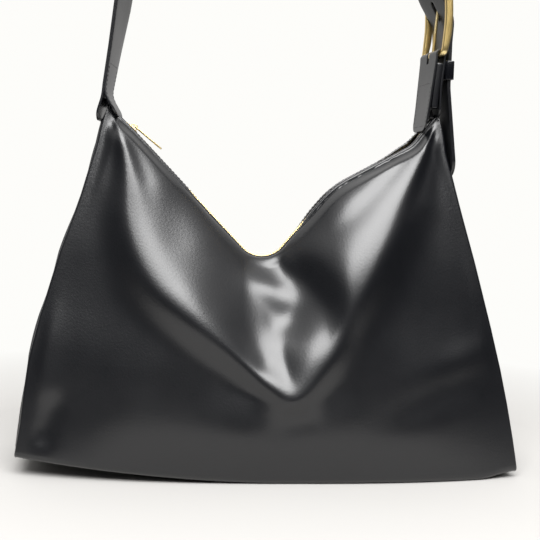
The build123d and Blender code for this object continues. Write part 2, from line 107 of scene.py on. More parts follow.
def newMaterial(name, **sockets):
    material = bpy.data.materials.new(name)
    material.use_nodes = True
    tree = material.node_tree
    shader = tree.nodes["Principled BSDF"]
    for label, value in sockets.items():
        shader.inputs[label.replace("_", " ")].default_value = value
    return material, tree, shader, addNode(tree, "ShaderNodeTexCoord").outputs["Object"]


def bumpFrom(tree, shader, height, strength, distance):
    bump = addNode(
        tree, "ShaderNodeBump", None, Height=height, Strength=strength, Distance=distance
    )
    tree.links.new(bump.outputs[0], shader.inputs["Normal"])


# ---- shared effects
def makeLeatherGroup():
    group, given, result = newGroup(
        "leatherGrain",
        [
            ("Vector", "NodeSocketVector", None), ("Grain Scale", "NodeSocketFloat", 620.0),
            ("Wrinkle Scale", "NodeSocketFloat", 150.0), ("Wrinkle Share", "NodeSocketFloat", 0.5),
        ],
        ("Height", "Cloud"),
    )
    vector = given.outputs["Vector"]
    cells = addNode(
        group, "ShaderNodeTexVoronoi", {"feature": "SMOOTH_F1"},
        Vector=vector, Scale=given.outputs["Grain Scale"], Smoothness=0.6,
    )
    stretched = addNode(group, "ShaderNodeMapping", None, Vector=vector, Scale=(1.0, 1.0, 1.9))
    wrinkles = addNode(
        group, "ShaderNodeTexNoise", None, Vector=stretched.outputs[0],
        Scale=given.outputs["Wrinkle Scale"], Detail=5.0, Roughness=0.55, Distortion=0.6,
    )
    ridges = addMath(group, "PINGPONG", wrinkles.outputs[0], 0.5)
    share = given.outputs["Wrinkle Share"]
    mixed = blend(group, share, cells.outputs["Distance"], ridges, "FLOAT")
    clouds = addNode(group, "ShaderNodeTexNoise", None, Vector=vector, Scale=16.0, Detail=3.0)
    return closeGroup(group, result, Height=mixed, Cloud=clouds.outputs[0])


def makeWeaveGroup():
    group, given, result = newGroup(
        "plainWeave",
        [("Vector", "NodeSocketVector", None), ("Thread Scale", "NodeSocketFloat", 300.0)],
        ("Height", "Thread"),
    )
    vector = given.outputs["Vector"]
    waves = []
    for direction in ("X", "Z"):
        waves.append(addNode(
            group, "ShaderNodeTexWave", {"bands_direction": direction},
            Vector=vector, Scale=given.outputs["Thread Scale"],
        ).outputs["Fac"])
    crossed = addMath(group, "MULTIPLY", *waves)
    slubs = addNode(group, "ShaderNodeTexNoise", None, Vector=vector, Scale=220.0, Detail=3.0)
    return closeGroup(group, result, Height=crossed, Thread=slubs.outputs[0])


def makePolishGroup():
    group, given, result = newGroup(
        "polishedMetal",
        [("Vector", "NodeSocketVector", None), ("Brush Scale", "NodeSocketFloat", 500.0)],
        ("Edge", "Brush", "Tarnish"),
    )
    vector = given.outputs["Vector"]
    geometry = addNode(group, "ShaderNodeNewGeometry")
    # painted highlight: convex edges, found by pointiness, get a paler gold where light glints on
    # them
    edge = remap(group, geometry.outputs["Pointiness"], 0.0, 1.0, 0.5, 0.56)
    stretched = addNode(group, "ShaderNodeMapping", None, Vector=vector, Scale=(1.0, 6.0, 0.4))
    brush = addNode(
        group, "ShaderNodeTexNoise", None, Vector=stretched.outputs[0],
        Scale=given.outputs["Brush Scale"], Detail=4.0,
    ).outputs[0]
    tarnish = addNode(group, "ShaderNodeTexNoise", None, Vector=vector, Scale=90.0, Detail=4.0)
    return closeGroup(group, result, Edge=edge, Brush=brush, Tarnish=tarnish.outputs[0])


leatherGrain = makeLeatherGroup()
plainWeave = makeWeaveGroup()
polishedMetal = makePolishGroup()


# ---- materials
def makeLeather(name, look):
    material, tree, shader, place = newMaterial(
        name, Specular_IOR_Level=look["specular"], Coat_Roughness=look["coatRoughness"],
        Coat_Weight=look["coat"],
    )
    grain = addNode(
        tree, "ShaderNodeGroup", {"node_tree": leatherGrain}, Vector=place,
        Grain_Scale=look["grainScale"], Wrinkle_Scale=look["wrinkleScale"],
        Wrinkle_Share=look["wrinkleShare"],
    )
    cloud = grain.outputs["Cloud"]
    fill(tree, shader.inputs["Base Color"], blend(tree, cloud, look["dark"], look["light"]))
    fill(tree, shader.inputs["Roughness"], remap(tree, cloud, *look["rough"], 0.3, 0.7))
    bumpFrom(tree, shader, grain.outputs["Height"], look["bump"], 0.35 * mm)
    return material


def makeMetal(name, look):
    material, tree, shader, place = newMaterial(name, Metallic=1.0)
    polish = addNode(
        tree, "ShaderNodeGroup", {"node_tree": polishedMetal}, Vector=place,
        Brush_Scale=look["brushScale"],
    )
    brush = polish.outputs["Brush"]
    body = blend(tree, polish.outputs["Tarnish"], look["dark"], look["light"])
    # the metal is painted paler along its edges, a painted highlight
    colour = blend(tree, polish.outputs["Edge"], body, look["edge"])
    fill(tree, shader.inputs["Base Color"], colour)
    fill(tree, shader.inputs["Roughness"], remap(tree, brush, *look["rough"]))
    bumpFrom(tree, shader, brush, look["bump"], 0.05 * mm)
    return material


def makeCloth(name, look):
    material, tree, shader, place = newMaterial(
        name, Sheen_Weight=look["sheen"], Specular_IOR_Level=0.3, Roughness=0.85
    )
    weave = addNode(
        tree, "ShaderNodeGroup", {"node_tree": plainWeave}, Vector=place,
        Thread_Scale=look["threadScale"],
    )
    colour = blend(tree, weave.outputs["Thread"], look["dark"], look["light"])
    fill(tree, shader.inputs["Base Color"], colour)
    bumpFrom(tree, shader, weave.outputs["Height"], look["bump"], 0.15 * mm)
    return material


leatherLook = {
    "dark": (0.0018, 0.0021, 0.0032, 1), "light": (0.0032, 0.0036, 0.0050, 1),
    "rough": (0.29, 0.36), "specular": 0.6, "coat": 0.25, "coatRoughness": 0.26,
    "grainScale": 620.0, "wrinkleScale": 170.0, "wrinkleShare": 0.6, "bump": 0.33,
}
strapLook = dict(leatherLook, wrinkleScale=240.0, rough=(0.36, 0.46), bump=0.28)
keeperLook = dict(leatherLook, rough=(0.12, 0.2), coat=0.5, coatRoughness=0.08, bump=0.1)
edgeLook = dict(leatherLook, rough=(0.28, 0.36), bump=0.1, wrinkleShare=0.1)
gussetLeatherLook = dict(leatherLook, rough=(0.5, 0.6), specular=0.3, coat=0.0)
goldLook = {
    # edge is the colour of the painted highlight along the metal's sharp edges
    "dark": (0.70, 0.45, 0.10, 1), "light": (0.83, 0.57, 0.17, 1), "edge": (0.98, 0.80, 0.42, 1),
    "rough": (0.26, 0.36), "brushScale": 420.0, "bump": 0.05,
}
toothLook = dict(
    goldLook, dark=(0.62, 0.55, 0.40, 1), light=(0.78, 0.72, 0.56, 1), rough=(0.25, 0.4)
)
liningLook = {
    "dark": (0.012, 0.012, 0.014, 1), "light": (0.028, 0.028, 0.032, 1),
    "sheen": 0.15, "threadScale": 420.0, "bump": 0.5,
}
tapeLook = dict(liningLook, threadScale=700.0, sheen=0.1)
threadLook = dict(liningLook, dark=(0.006, 0.006, 0.007, 1), light=(0.02, 0.02, 0.023, 1))
boardLook = dict(liningLook, dark=(0.16, 0.13, 0.10, 1), light=(0.24, 0.20, 0.15, 1), sheen=0.0)

bagLeather = makeLeather("bagLeather", leatherLook)
strapLeather = makeLeather("strapLeather", strapLook)
gussetLeather = makeLeather("gussetLeather", gussetLeatherLook)
keeperLeather = makeLeather("keeperLeather", keeperLook)
edgePaint = makeLeather("edgePaint", edgeLook)
buckleGold = makeMetal("buckleGold", goldLook)
toothGold = makeMetal("toothGold", toothLook)
liningCloth = makeCloth("liningCloth", liningLook)
tapeCloth = makeCloth("tapeCloth", tapeLook)
stitchThread = makeCloth("stitchThread", threadLook)
boardFibre = makeCloth("boardFibre", boardLook)
print("materials made")


# ---- mesh helpers
def toPiece(name, bm, materials):
    mesh = bpy.data.meshes.new(name)
    bm.to_mesh(mesh)
    bm.free()
    for material in materials:
        mesh.materials.append(material)
    mesh.shade_smooth()
    piece = bpy.data.objects.new(name, mesh)
    bpy.context.collection.objects.link(piece)
    return piece


def toSolid(name, bm, matrix, material):
    bmesh.ops.recalc_face_normals(bm, faces=bm.faces)
    bmesh.ops.transform(bm, matrix=matrix, verts=bm.verts)
    return toPiece(name, bm, [material])


def settle(piece):  # its modifiers become part of its mesh
    graph = bpy.context.evaluated_depsgraph_get()
    finished = bpy.data.meshes.new_from_object(piece.evaluated_get(graph))
    piece.modifiers.clear()
    piece.data = finished
    return piece


def thicken(piece, thickness, offset=-1.0, bevel=0.0, rim=False):
    wall = piece.modifiers.new("wall", "SOLIDIFY")
    wall.thickness = thickness
    wall.offset = offset
    if rim:
        wall.material_offset_rim = 1
    if bevel:
        edge = piece.modifiers.new("edge", "BEVEL")
        edge.width = bevel
        edge.segments = 2
        edge.limit_method = "ANGLE"
        edge.angle_limit = radians(50)
    return settle(piece)


def faceOutwards(piece):
    bm = bmesh.new()
    bm.from_mesh(piece.data)
    bmesh.ops.remove_doubles(bm, verts=bm.verts, dist=1e-6)
    bmesh.ops.recalc_face_normals(bm, faces=bm.faces)
    bm.to_mesh(piece.data)
    bm.free()
    piece.data.shade_smooth()
    return piece


def addBlock(bm, matrix, size, bevel=0.0, segments=1):
    made = bmesh.ops.create_cube(bm, size=1.0, matrix=matrix @ Matrix.Diagonal((*size, 1)))
    edges = list({edge for vert in made["verts"] for edge in vert.link_edges})
    if bevel:
        bevelEdges(bm, edges, bevel, segments)
    return edges


def bevelEdges(bm, edges, width, segments=1):
    bmesh.ops.bevel(
        bm, geom=edges, offset=width, offset_type="OFFSET", segments=segments,
        profile=0.5, affect="EDGES", material=-1,
    )


def sharpEdges(bm):
    return [e for e in bm.edges if e.is_manifold and e.calc_face_angle() > radians(60)]


def sliceAt(bm, place, normal):
    geom = bm.verts[:] + bm.edges[:] + bm.faces[:]
    bmesh.ops.bisect_plane(bm, geom=geom, plane_co=place, plane_no=normal)


def edgeSpan(edge, axis):
    return abs(edge.verts[0].co[axis] - edge.verts[1].co[axis])


def addOval(bm, place, size, segments):  # a flat loop of edges round Z
    matrix = Matrix.Translation(place) @ Matrix.Diagonal((*size, 1, 1))
    made = bmesh.ops.create_circle(
        bm, cap_ends=False, segments=segments, radius=0.5, matrix=matrix
    )
    return made["verts"], list({edge for vert in made["verts"] for edge in vert.link_edges})


def raiseLoop(bm, edges, height):  # the loop's new verts and edges, that much higher
    made = bmesh.ops.extrude_edge_only(bm, edges=edges)["geom"]
    verts = [g for g in made if isinstance(g, bmesh.types.BMVert)]
    bmesh.ops.translate(bm, vec=(0, 0, height), verts=verts)
    return verts + [g for g in made if isinstance(g, bmesh.types.BMEdge)]


def sheetGrid(columns, rows):  # a unit grid and its columns' and rows' shares
    bm = bmesh.new()
    bmesh.ops.create_grid(bm, x_segments=columns, y_segments=rows, size=0.5)
    shares = np.array([vert.co for vert in bm.verts]) + 0.5
    return bm, shares[:, 0], shares[:, 1]


def moveVerts(bm, places):
    for vert, place in zip(bm.verts, places):
        vert.co = place


def makeShell(name, grid, place, material, axis, side, **finish):  # thickened away from its face
    bm, across, upwards = sheetGrid(*grid)
    moveVerts(bm, place(side, across, upwards))
    bmesh.ops.recalc_face_normals(bm, faces=bm.faces)
    if sum(face.normal[axis] for face in bm.faces) * side < 0:
        bmesh.ops.reverse_faces(bm, faces=bm.faces)
    return thicken(toPiece(name, bm, [material]), bagShape["wall"], **finish)


def makeSheet(name, grid, place, materials, wall, **finish):  # place gives a point for two shares
    bm, across, upwards = sheetGrid(*grid)
    moveVerts(bm, place(across, upwards))
    return faceOutwards(thicken(toPiece(name, bm, materials), wall, offset=0.0, **finish))


def roundedPath(corners, radii, arcSteps=24):  # straight runs joined by arcs, from points in mm
    points = [Vector(corners[0]) * mm]
    for before, corner, after, radius in zip(corners, corners[1:], corners[2:], radii):
        here = Vector(corner) * mm
        into = (here - Vector(before) * mm).normalized()
        out = (Vector(after) * mm - here).normalized()
        turn = into.angle_signed(out)
        trim = radius * mm * tan(abs(turn) / 2)
        start = here - into * trim
        side = -1 if turn > 0 else 1
        centre = start + Vector((-into.y, into.x)) * radius * mm * side
        for step in range(arcSteps + 1):
            spoke = start - centre
            spoke.rotate(Matrix.Rotation(side * abs(turn) * step / arcSteps, 2))
            points.append(centre + spoke)
    points.append(Vector(corners[-1]) * mm)
    line = np.array([tuple(point) for point in points])
    steps = np.hypot(*np.diff(line, axis=0).T)
    return {"x": line[:, 0], "z": line[:, 1], "at": np.concatenate([[0], np.cumsum(steps)])}


def placeOn(path, distance):
    return np.interp(distance, path["at"], path["x"]), np.interp(distance, path["at"], path["z"])


def headingOn(path, distance):
    step = 0.4 * mm
    ahead = placeOn(path, np.minimum(distance + step, path["at"][-1]))
    behind = placeOn(path, np.maximum(distance - step, 0))
    along = np.array([ahead[0] - behind[0], ahead[1] - behind[1]])
    return along / np.hypot(*along)


def bandPlaces(path, distance, across, out):  # points on a strip that follows a path
    x, z = placeOn(path, distance)
    along = headingOn(path, distance)
    if "turnAt" in path:  # the strip turns about its own line, by these slopes at these distances
        out = out - across * np.interp(distance, path["turnAt"], path["turn"])
    return np.stack([x - along[1] * out, across + 0 * x, z + along[0] * out], axis=1)


# ---- the bag's walls
bagShape = {
    "zipCorners": [(-131, 291), (-6.2, 163.3), (51.1, 231.6), (116, 267.8), (131, 291)],
    "zipRadii": [22, 80, 25], "sideX": 196 * mm, "halfDepth": 66 * mm, "endDepth": 48 * mm,
    "headDepth": 9.0 * mm, "headDrop": 0.6 * mm, "belly": 9 * mm, "peak": (131 * mm, 291 * mm),
    # the wall's section is squarer at its ends than at its quarters and its middle
    "square": 1.78, "quarterRound": 0.38, "middleRound": 0.22,
    "wall": 1.5 * mm, "underRoll": 6.5 * mm, "underTuck": 0.75, "edgeRoll": 2.4 * mm,
    "edgeBevel": 0.35 * mm, "rimRoll": 1.5 * mm, "rollShare": 0.03, "wallShare": 0.9,
    "edgeSwing": radians(105), "facingEnd": 4.2 * mm, "rimLow": -0.5 * mm,
    "rimHigh": (1.2 * mm, 2.4 * mm), "backPeek": 2.5 * mm, "backPeekAt": (0.915, 0.045),
    "teethAt": 0.445, "teethHalf": 0.11,
    "leftLift": 15 * mm, "rightLift": 5 * mm, "peakLift": 2 * mm, "softenRounds": 14,
    "calmEdge": 9 * mm, "calmFoot": 22 * mm,
    # how far each end bows out, in mm, at shares of its height
    "bowShares": [0, 0.1, 0.2, 0.3, 0.42, 0.6, 0.76, 0.9, 1],
    "leftBow": [2.3, 5.0, 9.0, 12.3, 12.4, 10.0, 5.0, 2.4, 3.4],
    "rightBow": [6.0, 8.0, 9.4, 10.0, 9.4, 7.4, 4.6, 2.4, 5.0],
}
zipPath = roundedPath(bagShape["zipCorners"], bagShape["zipRadii"])
zipLength = zipPath["at"][-1]


def columnOf(t):
    shape = bagShape
    footX = shape["sideX"] * (2 * t - 1)
    zipX, zipZ = placeOn(zipPath, t * zipLength)
    length = np.hypot(zipX - footX, zipZ)
    return footX, (zipX - footX) / length, zipZ / length, length


def footDepth(t):
    fullness = 1 - np.abs(2 * t - 1) ** 3
    return bagShape["endDepth"] + (bagShape["halfDepth"] - bagShape["endDepth"]) * fullness


def underRoll(height, roll):  # how far the foot of a wall rolls under the bag
    low = np.clip(1 - height / roll, 0, 1)
    return roll * (1 - np.sqrt(1 - low ** 2)) * bagShape["underTuck"]


def wallProfile(t, turn):
    shape = bagShape
    square = shape["square"] - shape["quarterRound"] * np.sin(2 * pi * t) ** 2
    square = square - shape["middleRound"] * np.sin(pi * t) ** 2
    rise = np.sin(turn) ** square
    reach = np.maximum(np.cos(turn), 0) ** square
    depth = shape["headDepth"] + (footDepth(t) - shape["headDepth"]) * reach
    depth = depth + shape["belly"] * np.sin(pi * rise) * np.sin(pi * t)
    return depth, (columnOf(t)[3] - shape["headDrop"]) * rise


def slouch(places):  # the ends bow out and the base's ends lift off the floor
    shape = bagShape
    peakX, peakZ = shape["peak"]
    x, z = places[:, 0], places[:, 2]
    share = np.clip(z / peakZ, 0, 1)
    reach = np.abs(x) / (shape["sideX"] - (shape["sideX"] - peakX) * share)
    peak = smoothStep((share - 0.7) / 0.3)
    spread = np.clip(reach, 0, 1.1) ** (1.6 + 8 * peak)
    left, right = (
        np.interp(share, shape["bowShares"], shape[bow]) * mm for bow in ("leftBow", "rightBow")
    )
    t = np.clip(x / (2 * shape["sideX"]) + 0.5, 0, 1)
    lift = shape["leftLift"] * np.clip(1 - t / 0.5, 0, 1) ** 1.5
    lift = lift + shape["rightLift"] * smoothStep((t - 0.92) / 0.08)
    places[:, 0] = x + np.where(x < 0, -left, right) * spread
    places[:, 2] = z + lift * (1 - share) ** 3 + shape["peakLift"] * spread * peak
    return places


def softLine(points, rounds=3):  # a drawn line with its corners worn round
    line = np.array(points, float)
    for _ in range(rounds):
        near = line[:-1] * 0.75 + line[1:] * 0.25
        far = line[:-1] * 0.25 + line[1:] * 0.75
        middle = np.stack([near, far], axis=1).reshape(-1, 2)
        line = np.vstack([line[:1], middle, line[-1:]])
    return line * mm


def foldHeight(x, z, folds):
    total = np.zeros_like(x)
    for fold in folds:
        line = softLine(fold["line"])
        lengths = np.hypot(*np.diff(line, axis=0).T)
        begun = np.concatenate([[0], np.cumsum(lengths)])
        left, right = fold["widths"]
        grow = fold.get("grow", (1.0, 1.0))
        fadeIn, fadeOut = fold.get("fade", (0.2, 0.2))
        highest = np.zeros_like(x)
        for start, end, length, before in zip(line, line[1:], lengths, begun):
            run = end - start
            part = ((x - start[0]) * run[0] + (z - start[1]) * run[1]) / length ** 2
            part = np.clip(part, 0, 1)
            gapX = x - start[0] - part * run[0]
            gapZ = z - start[1] - part * run[1]
            side = run[0] * gapZ - run[1] * gapX
            share = (before + part * length) / begun[-1]
            width = np.where(side > 0, left, right) * mm
            width = width * np.interp(share, np.linspace(0, 1, len(grow)), grow)
            fade = smoothStep(share / fadeIn) * smoothStep((1 - share) / fadeOut)
            near = np.exp(-(gapX ** 2 + gapZ ** 2) / width ** 2) * fade
            highest = np.maximum(highest, near)
        total += fold["height"] * mm * highest
    return total


def soften(values, columnShare, rounds):  # a small blur over the wall's own grid
    columns = len(np.unique(np.round(columnShare, 6)))
    grid = values.reshape(-1, columns)
    for _ in range(rounds):
        wide = np.pad(grid, 1, mode="edge")
        grid = (wide[:-2, 1:-1] + wide[2:, 1:-1] + wide[1:-1, :-2] + wide[1:-1, 2:]) / 8 + grid / 2
    return grid.reshape(-1)


def hollowHeight(x, z, hollows):  # broad round swells and hollows, leaning by some degrees
    total = np.zeros_like(x)
    for hollow in hollows:
        lean = radians(hollow["lean"])
        gapX = x - hollow["at"][0] * mm
        gapZ = z - hollow["at"][1] * mm
        across = (gapX * cos(lean) + gapZ * sin(lean)) / (hollow["reach"][0] * mm)
        along = (gapZ * cos(lean) - gapX * sin(lean)) / (hollow["reach"][1] * mm)
        total += hollow["height"] * mm * np.exp(-across ** 2 - along ** 2)
    return total


def smoothStep(value):
    share = np.clip(value, 0, 1)
    return share * share * (3 - 2 * share)


# height is in mm out of the leather, widths are to the left and right of the line's run
frontFolds = [
    # the swag that hangs from both peaks
    {"line": [(-129, 286), (-121, 258), (-114, 228), (-111, 200), (-102, 173), (-88, 149),
              (-63, 127), (-38, 108), (-13, 87), (2, 72), (14, 65), (25, 72), (40, 102), (53, 131),
              (73, 165), (96, 207), (116, 247), (130, 285)],
     "height": 10.0, "widths": (34, 17), "fade": (0.05, 0.05),
     "grow": (0.25, 0.8, 0.95, 0.8, 0.55, 0.85, 1.1, 1.0, 0.25)},
    # the two valleys over its foot, with the ridge and the crease between them
    {"line": [(8, 172), (26, 156), (40, 137), (44, 115), (34, 88)],
     "height": -9.0, "widths": (15, 22), "fade": (0.25, 0.6), "grow": (0.9, 1.0, 0.9, 0.6)},
    {"line": [(-32, 132), (-22, 117), (-10, 99), (3, 80)],
     "height": -4.0, "widths": (14, 12), "fade": (0.5, 0.3), "grow": (1.3, 1.0, 0.6)},
    # gathers that fan out of the peaks
    {"line": [(-130, 284), (-125, 262), (-123, 238), (-126, 212)],
     "height": -2.0, "widths": (3, 4), "fade": (0.1, 0.6), "grow": (0.5, 2.4)},
    {"line": [(-132, 282), (-131, 256), (-134, 230), (-139, 200)],
     "height": 1.6, "widths": (3.5, 4.5), "fade": (0.1, 0.6), "grow": (0.5, 2.6)},
    {"line": [(-127, 282), (-110, 252), (-98, 222), (-94, 188)],
     "height": -1.7, "widths": (5, 4), "fade": (0.1, 0.6), "grow": (0.5, 2.4)},
    {"line": [(131, 284), (127, 262), (116, 232), (104, 208), (90, 184)],
     "height": -2.4, "widths": (4, 3), "fade": (0.1, 0.6), "grow": (0.5, 2.6)},
    {"line": [(133, 284), (138, 258), (149, 226), (160, 190)],
     "height": 1.8, "widths": (4, 5), "fade": (0.1, 0.6), "grow": (0.5, 2.6)},
    {"line": [(127, 282), (104, 250), (78, 222), (48, 196), (22, 180)],
     "height": -1.5, "widths": (7, 4), "fade": (0.15, 0.4), "grow": (0.6, 2.2)},
    # the ends
    {"line": [(-160, 150), (-166, 110), (-172, 66), (-163, 34)],
     "height": 2.4, "widths": (10, 7), "fade": (0.4, 0.4)},
    {"line": [(-158, 66), (-167, 42), (-176, 20), (-181, 6)],
     "height": -3.0, "widths": (9, 7), "fade": (0.3, 0.4)},
]
frontHollows = [
    {"at": (-4, 150), "reach": (20, 11), "lean": -20, "height": 3.0},
    {"at": (14, 128), "reach": (16, 17), "lean": -30, "height": -6.0},
    {"at": (-122, 130), "reach": (34, 44), "lean": 35, "height": -3.0},
    {"at": (110, 130), "reach": (34, 46), "lean": -30, "height": -3.0},
    {"at": (-76, 190), "reach": (20, 34), "lean": 10, "height": -2.5},
    {"at": (10, 40), "reach": (100, 26), "lean": 0, "height": 3.5},
    {"at": (152, 98), "reach": (28, 13), "lean": 22, "height": 2.2},
    {"at": (118, 66), "reach": (40, 14), "lean": 25, "height": -2.0},
    {"at": (-140, 60), "reach": (22, 34), "lean": -8, "height": -2.0},
]
backFolds = [
    {"line": [(-128, 284), (-112, 240), (-88, 196), (-56, 150), (-26, 112), (-2, 82), (24, 108),
              (58, 146), (92, 190), (115, 236), (128, 284)],
     "height": 6.0, "widths": (26, 15), "fade": (0.08, 0.08),
     "grow": (0.25, 0.9, 1.0, 0.4, 1.0, 0.9, 0.25)},
    {"line": [(-8, 166), (-4, 140), (-2, 112), (-2, 92)],
     "height": -5.5, "widths": (16, 16), "fade": (0.2, 0.3), "grow": (1.0, 0.4)},
    {"line": [(-130, 284), (-140, 240), (-150, 190), (-158, 140)],
     "height": 2.0, "widths": (5, 5), "fade": (0.15, 0.5), "grow": (0.6, 2.2)},
    {"line": [(130, 284), (140, 236), (148, 190), (158, 130)],
     "height": 2.2, "widths": (5, 5), "fade": (0.15, 0.5), "grow": (0.6, 2.2)},
    {"line": [(-128, 280), (-126, 230), (-124, 180)],
     "height": -2.0, "widths": (4, 4), "fade": (0.15, 0.5), "grow": (0.6, 2.0)},
    {"line": [(128, 280), (124, 230), (120, 180)],
     "height": -2.0, "widths": (4, 4), "fade": (0.15, 0.5), "grow": (0.6, 2.0)},
]
backHollows = [
    {"at": (-112, 112), "reach": (36, 44), "lean": 35, "height": -2.6},
    {"at": (112, 112), "reach": (36, 44), "lean": -35, "height": -2.6},
    {"at": (0, 40), "reach": (100, 26), "lean": 0, "height": 2.6},
]
wallRelief = {-1: (frontFolds, frontHollows), 1: (backFolds, backHollows)}


def rimHeight(t, side):  # how far the rim stands over the zip, lower where its teeth show
    shape = bagShape
    near = smoothStep((np.abs(t - shape["teethAt"]) - shape["teethHalf"]) / 0.1)
    left, right = shape["rimHigh"]
    high = left + (right - left) * smoothStep(t * 10 - 5)
    at, reach = shape["backPeekAt"]
    peek = shape["backPeek"] * np.exp(-(((t - at) / reach) ** 2)) if side > 0 else 0
    return shape["rimLow"] + (high - shape["rimLow"]) * near + peek


def wallPlaces(side, columnShare, rowShare, inset=0.0, rows=(0.0, 1.0)):
    # rowShare runs up the wall and, on the leather, over the rim and along the zip
    shape = bagShape
    full = inset == 0
    rollShare = shape["rollShare"] if full else 0.0
    wallShare = shape["wallShare"] if full else 1.0
    t = np.clip((columnShare - rollShare) / (1 - 2 * rollShare), 0, 1)
    up = rows[0] + (rows[1] - rows[0]) * np.clip(rowShare / wallShare, 0, 1)
    turn = up * pi / 2
    depth, height = wallProfile(t, turn)
    step = 0.004
    ahead = wallProfile(t, np.minimum(turn + step, pi / 2))
    behind = wallProfile(t, np.maximum(turn - step, 0))
    run = np.array([ahead[0] - behind[0], ahead[1] - behind[1]])
    run = run / np.hypot(*run)
    footX, upX, upZ, length = columnOf(t)
    x = footX + upX * height
    z = upZ * height
    calm = smoothStep(np.minimum(t, 1 - t) * length / shape["calmEdge"])
    calm = calm * smoothStep((length - height) / shape["calmEdge"])
    calm = calm * smoothStep(height / shape["calmFoot"])
    folds, hollows = wallRelief[side]
    relief = foldHeight(x, z, folds) + hollowHeight(x, z, hollows)
    lift = soften(relief, columnShare, shape["softenRounds"] if full else 2) * calm - inset
    depth = depth + run[1] * lift
    height = height - run[0] * lift
    depth = depth - underRoll(height, shape["underRoll"] - inset)
    places = np.stack(
        [footX + upX * height, side * depth, np.maximum(upZ * height, inset)], axis=1
    )
    if not full:
        return slouch(places)
    over = np.clip((rowShare - wallShare) / (1 - wallShare), 0, 1)
    bend = np.clip(over / 0.5, 0, 1) * pi / 2
    flat = np.clip((over - 0.5) / 0.5, 0, 1)
    rimRoll = shape["rimRoll"]
    rimDepth = shape["headDepth"] - rimRoll * (1 - np.cos(bend))
    rimDepth = rimDepth - flat * (shape["headDepth"] - rimRoll - shape["facingEnd"])
    rimOut = rimHeight(t, side) - rimRoll * (1 - np.sin(bend))
    rim = bandPlaces(zipPath, t * zipLength, side * rimDepth, rimOut)
    places = np.where((over > 0)[:, None], rim, places)
    edge = np.clip(1 - np.minimum(columnShare, 1 - columnShare) / rollShare, 0, 1)
    swing = edge * shape["edgeSwing"]
    tuck = shape["edgeRoll"] * smoothStep((length - height) / (16 * mm))
    places[:, 0] += np.sign(columnShare - 0.5) * tuck * np.sin(swing)
    places[:, 1] -= side * tuck * (1 - np.cos(swing))
    return slouch(places)


frontSkin = makeShell(
    "front_leather", (268, 180), wallPlaces, bagLeather, 1, -1, bevel=bagShape["edgeBevel"]
)
print("front leather shaped")
backSkin = makeShell(
    "back_leather", (260, 160), wallPlaces, bagLeather, 1, 1, bevel=bagShape["edgeBevel"]
)
print("back leather shaped")

gussetLook = {
    "foot": {-1: 6.0 * mm, 1: 4.0 * mm}, "head": {-1: 2.6 * mm, 1: 3.0 * mm},
    "top": 280.5 * mm, "tuck": 1.6 * mm, "pleat": 2.56 * mm, "pleatWidth": 0.22,
    "crown": 1.2 * mm, "seam": 0.8 * mm, "ripple": 0.9 * mm,
}


def gussetPlaces(side, acrossShare, upShare, inset=0.0):
    look = gussetLook
    t = np.full_like(acrossShare, (side + 1) / 2)
    footX, upX, upZ, length = columnOf(t)
    level = inset + (look["top"] - inset) * upShare
    height = level / upZ
    climbed = np.clip(height / (length - bagShape["headDrop"]), 0, 1)
    depth, _ = wallProfile(t, np.arcsin(climbed ** (1 / bagShape["square"])))
    w = acrossShare * 2 - 1
    swell = look["foot"][side] + (look["head"][side] - look["foot"][side]) * upShare
    pleat = look["pleat"] * np.exp(-((w / look["pleatWidth"]) ** 2)) * smoothStep(upShare * 1.6)
    out = (swell + look["crown"]) * (1 - w ** 4) - pleat - look["seam"] - inset
    out = out + look["ripple"] * np.sin(upShare * 23 + w * 2.0) * (1 - w ** 2)
    out = out - underRoll(level, bagShape["underRoll"])
    half = depth - look["tuck"] - inset
    return slouch(np.stack([footX + upX * height + side * upZ * out, w * half, level], axis=1))


gussetGrid = (48, 120)
leftGusset = makeShell("left_gusset_leather", gussetGrid, gussetPlaces, gussetLeather, 0, -1)
rightGusset = makeShell("right_gusset_leather", gussetGrid, gussetPlaces, gussetLeather, 0, 1)

baseLook = {"inset": 6.6 * mm, "low": 0.3 * mm, "wall": 1.6 * mm}


def makeBase(name, look, material, grid):
    def place(across, deep):
        inset, sideX = look["inset"], bagShape["sideX"]
        t = inset / (2 * sideX) + across * (1 - inset / sideX)
        y = (deep * 2 - 1) * (footDepth(t) - inset)
        low = look["low"] + look["wall"] / 2 + 0 * t
        return slouch(np.stack([sideX * (2 * t - 1), y, low], axis=1))

    return makeSheet(name, grid, place, [material], look["wall"], bevel=0.2 * mm)


baseSkin = makeBase("base_leather", baseLook, bagLeather, (90, 30))
floorLook = {"inset": 9 * mm, "low": 3.3 * mm, "wall": 0.6 * mm}
liningFloor = makeBase("lining_floor", floorLook, liningCloth, (60, 20))
boardShape = {"inset": 15 * mm, "low": 2.05 * mm, "wall": 1.1 * mm}
baseBoard = makeBase("base_board_fibre", boardShape, boardFibre, (60, 20))


# ---- lining and pocket
liningShape = {"inset": 3.4 * mm, "wall": 0.6 * mm, "pocketInset": 4.8 * mm}


def makeLiningWall(name, side, inset, grid, left=0.0, right=1.0, rows=(0.13, 0.97)):
    def place(across, upwards):
        return wallPlaces(side, left + (right - left) * across, upwards, inset, rows)

    return makeSheet(name, grid, place, [liningCloth], liningShape["wall"])


liningFront = makeLiningWall("lining_front_cloth", -1, liningShape["inset"], (110, 70))
liningBack = makeLiningWall("lining_back_cloth", 1, liningShape["inset"], (110, 70))
slipPocket = makeLiningWall(
    "slip_pocket_cloth", 1, liningShape["pocketInset"], (40, 30), 0.32, 0.63, (0.33, 0.58)
)


def makeLiningEnd(name, side):
    def place(across, upwards):
        return gussetPlaces(side, across, upwards, liningShape["inset"])

    return makeSheet(name, (24, 60), place, [liningCloth], liningShape["wall"])


liningLeft = makeLiningEnd("lining_left_cloth", -1)
liningRight = makeLiningEnd("lining_right_cloth", 1)
print("lining made")

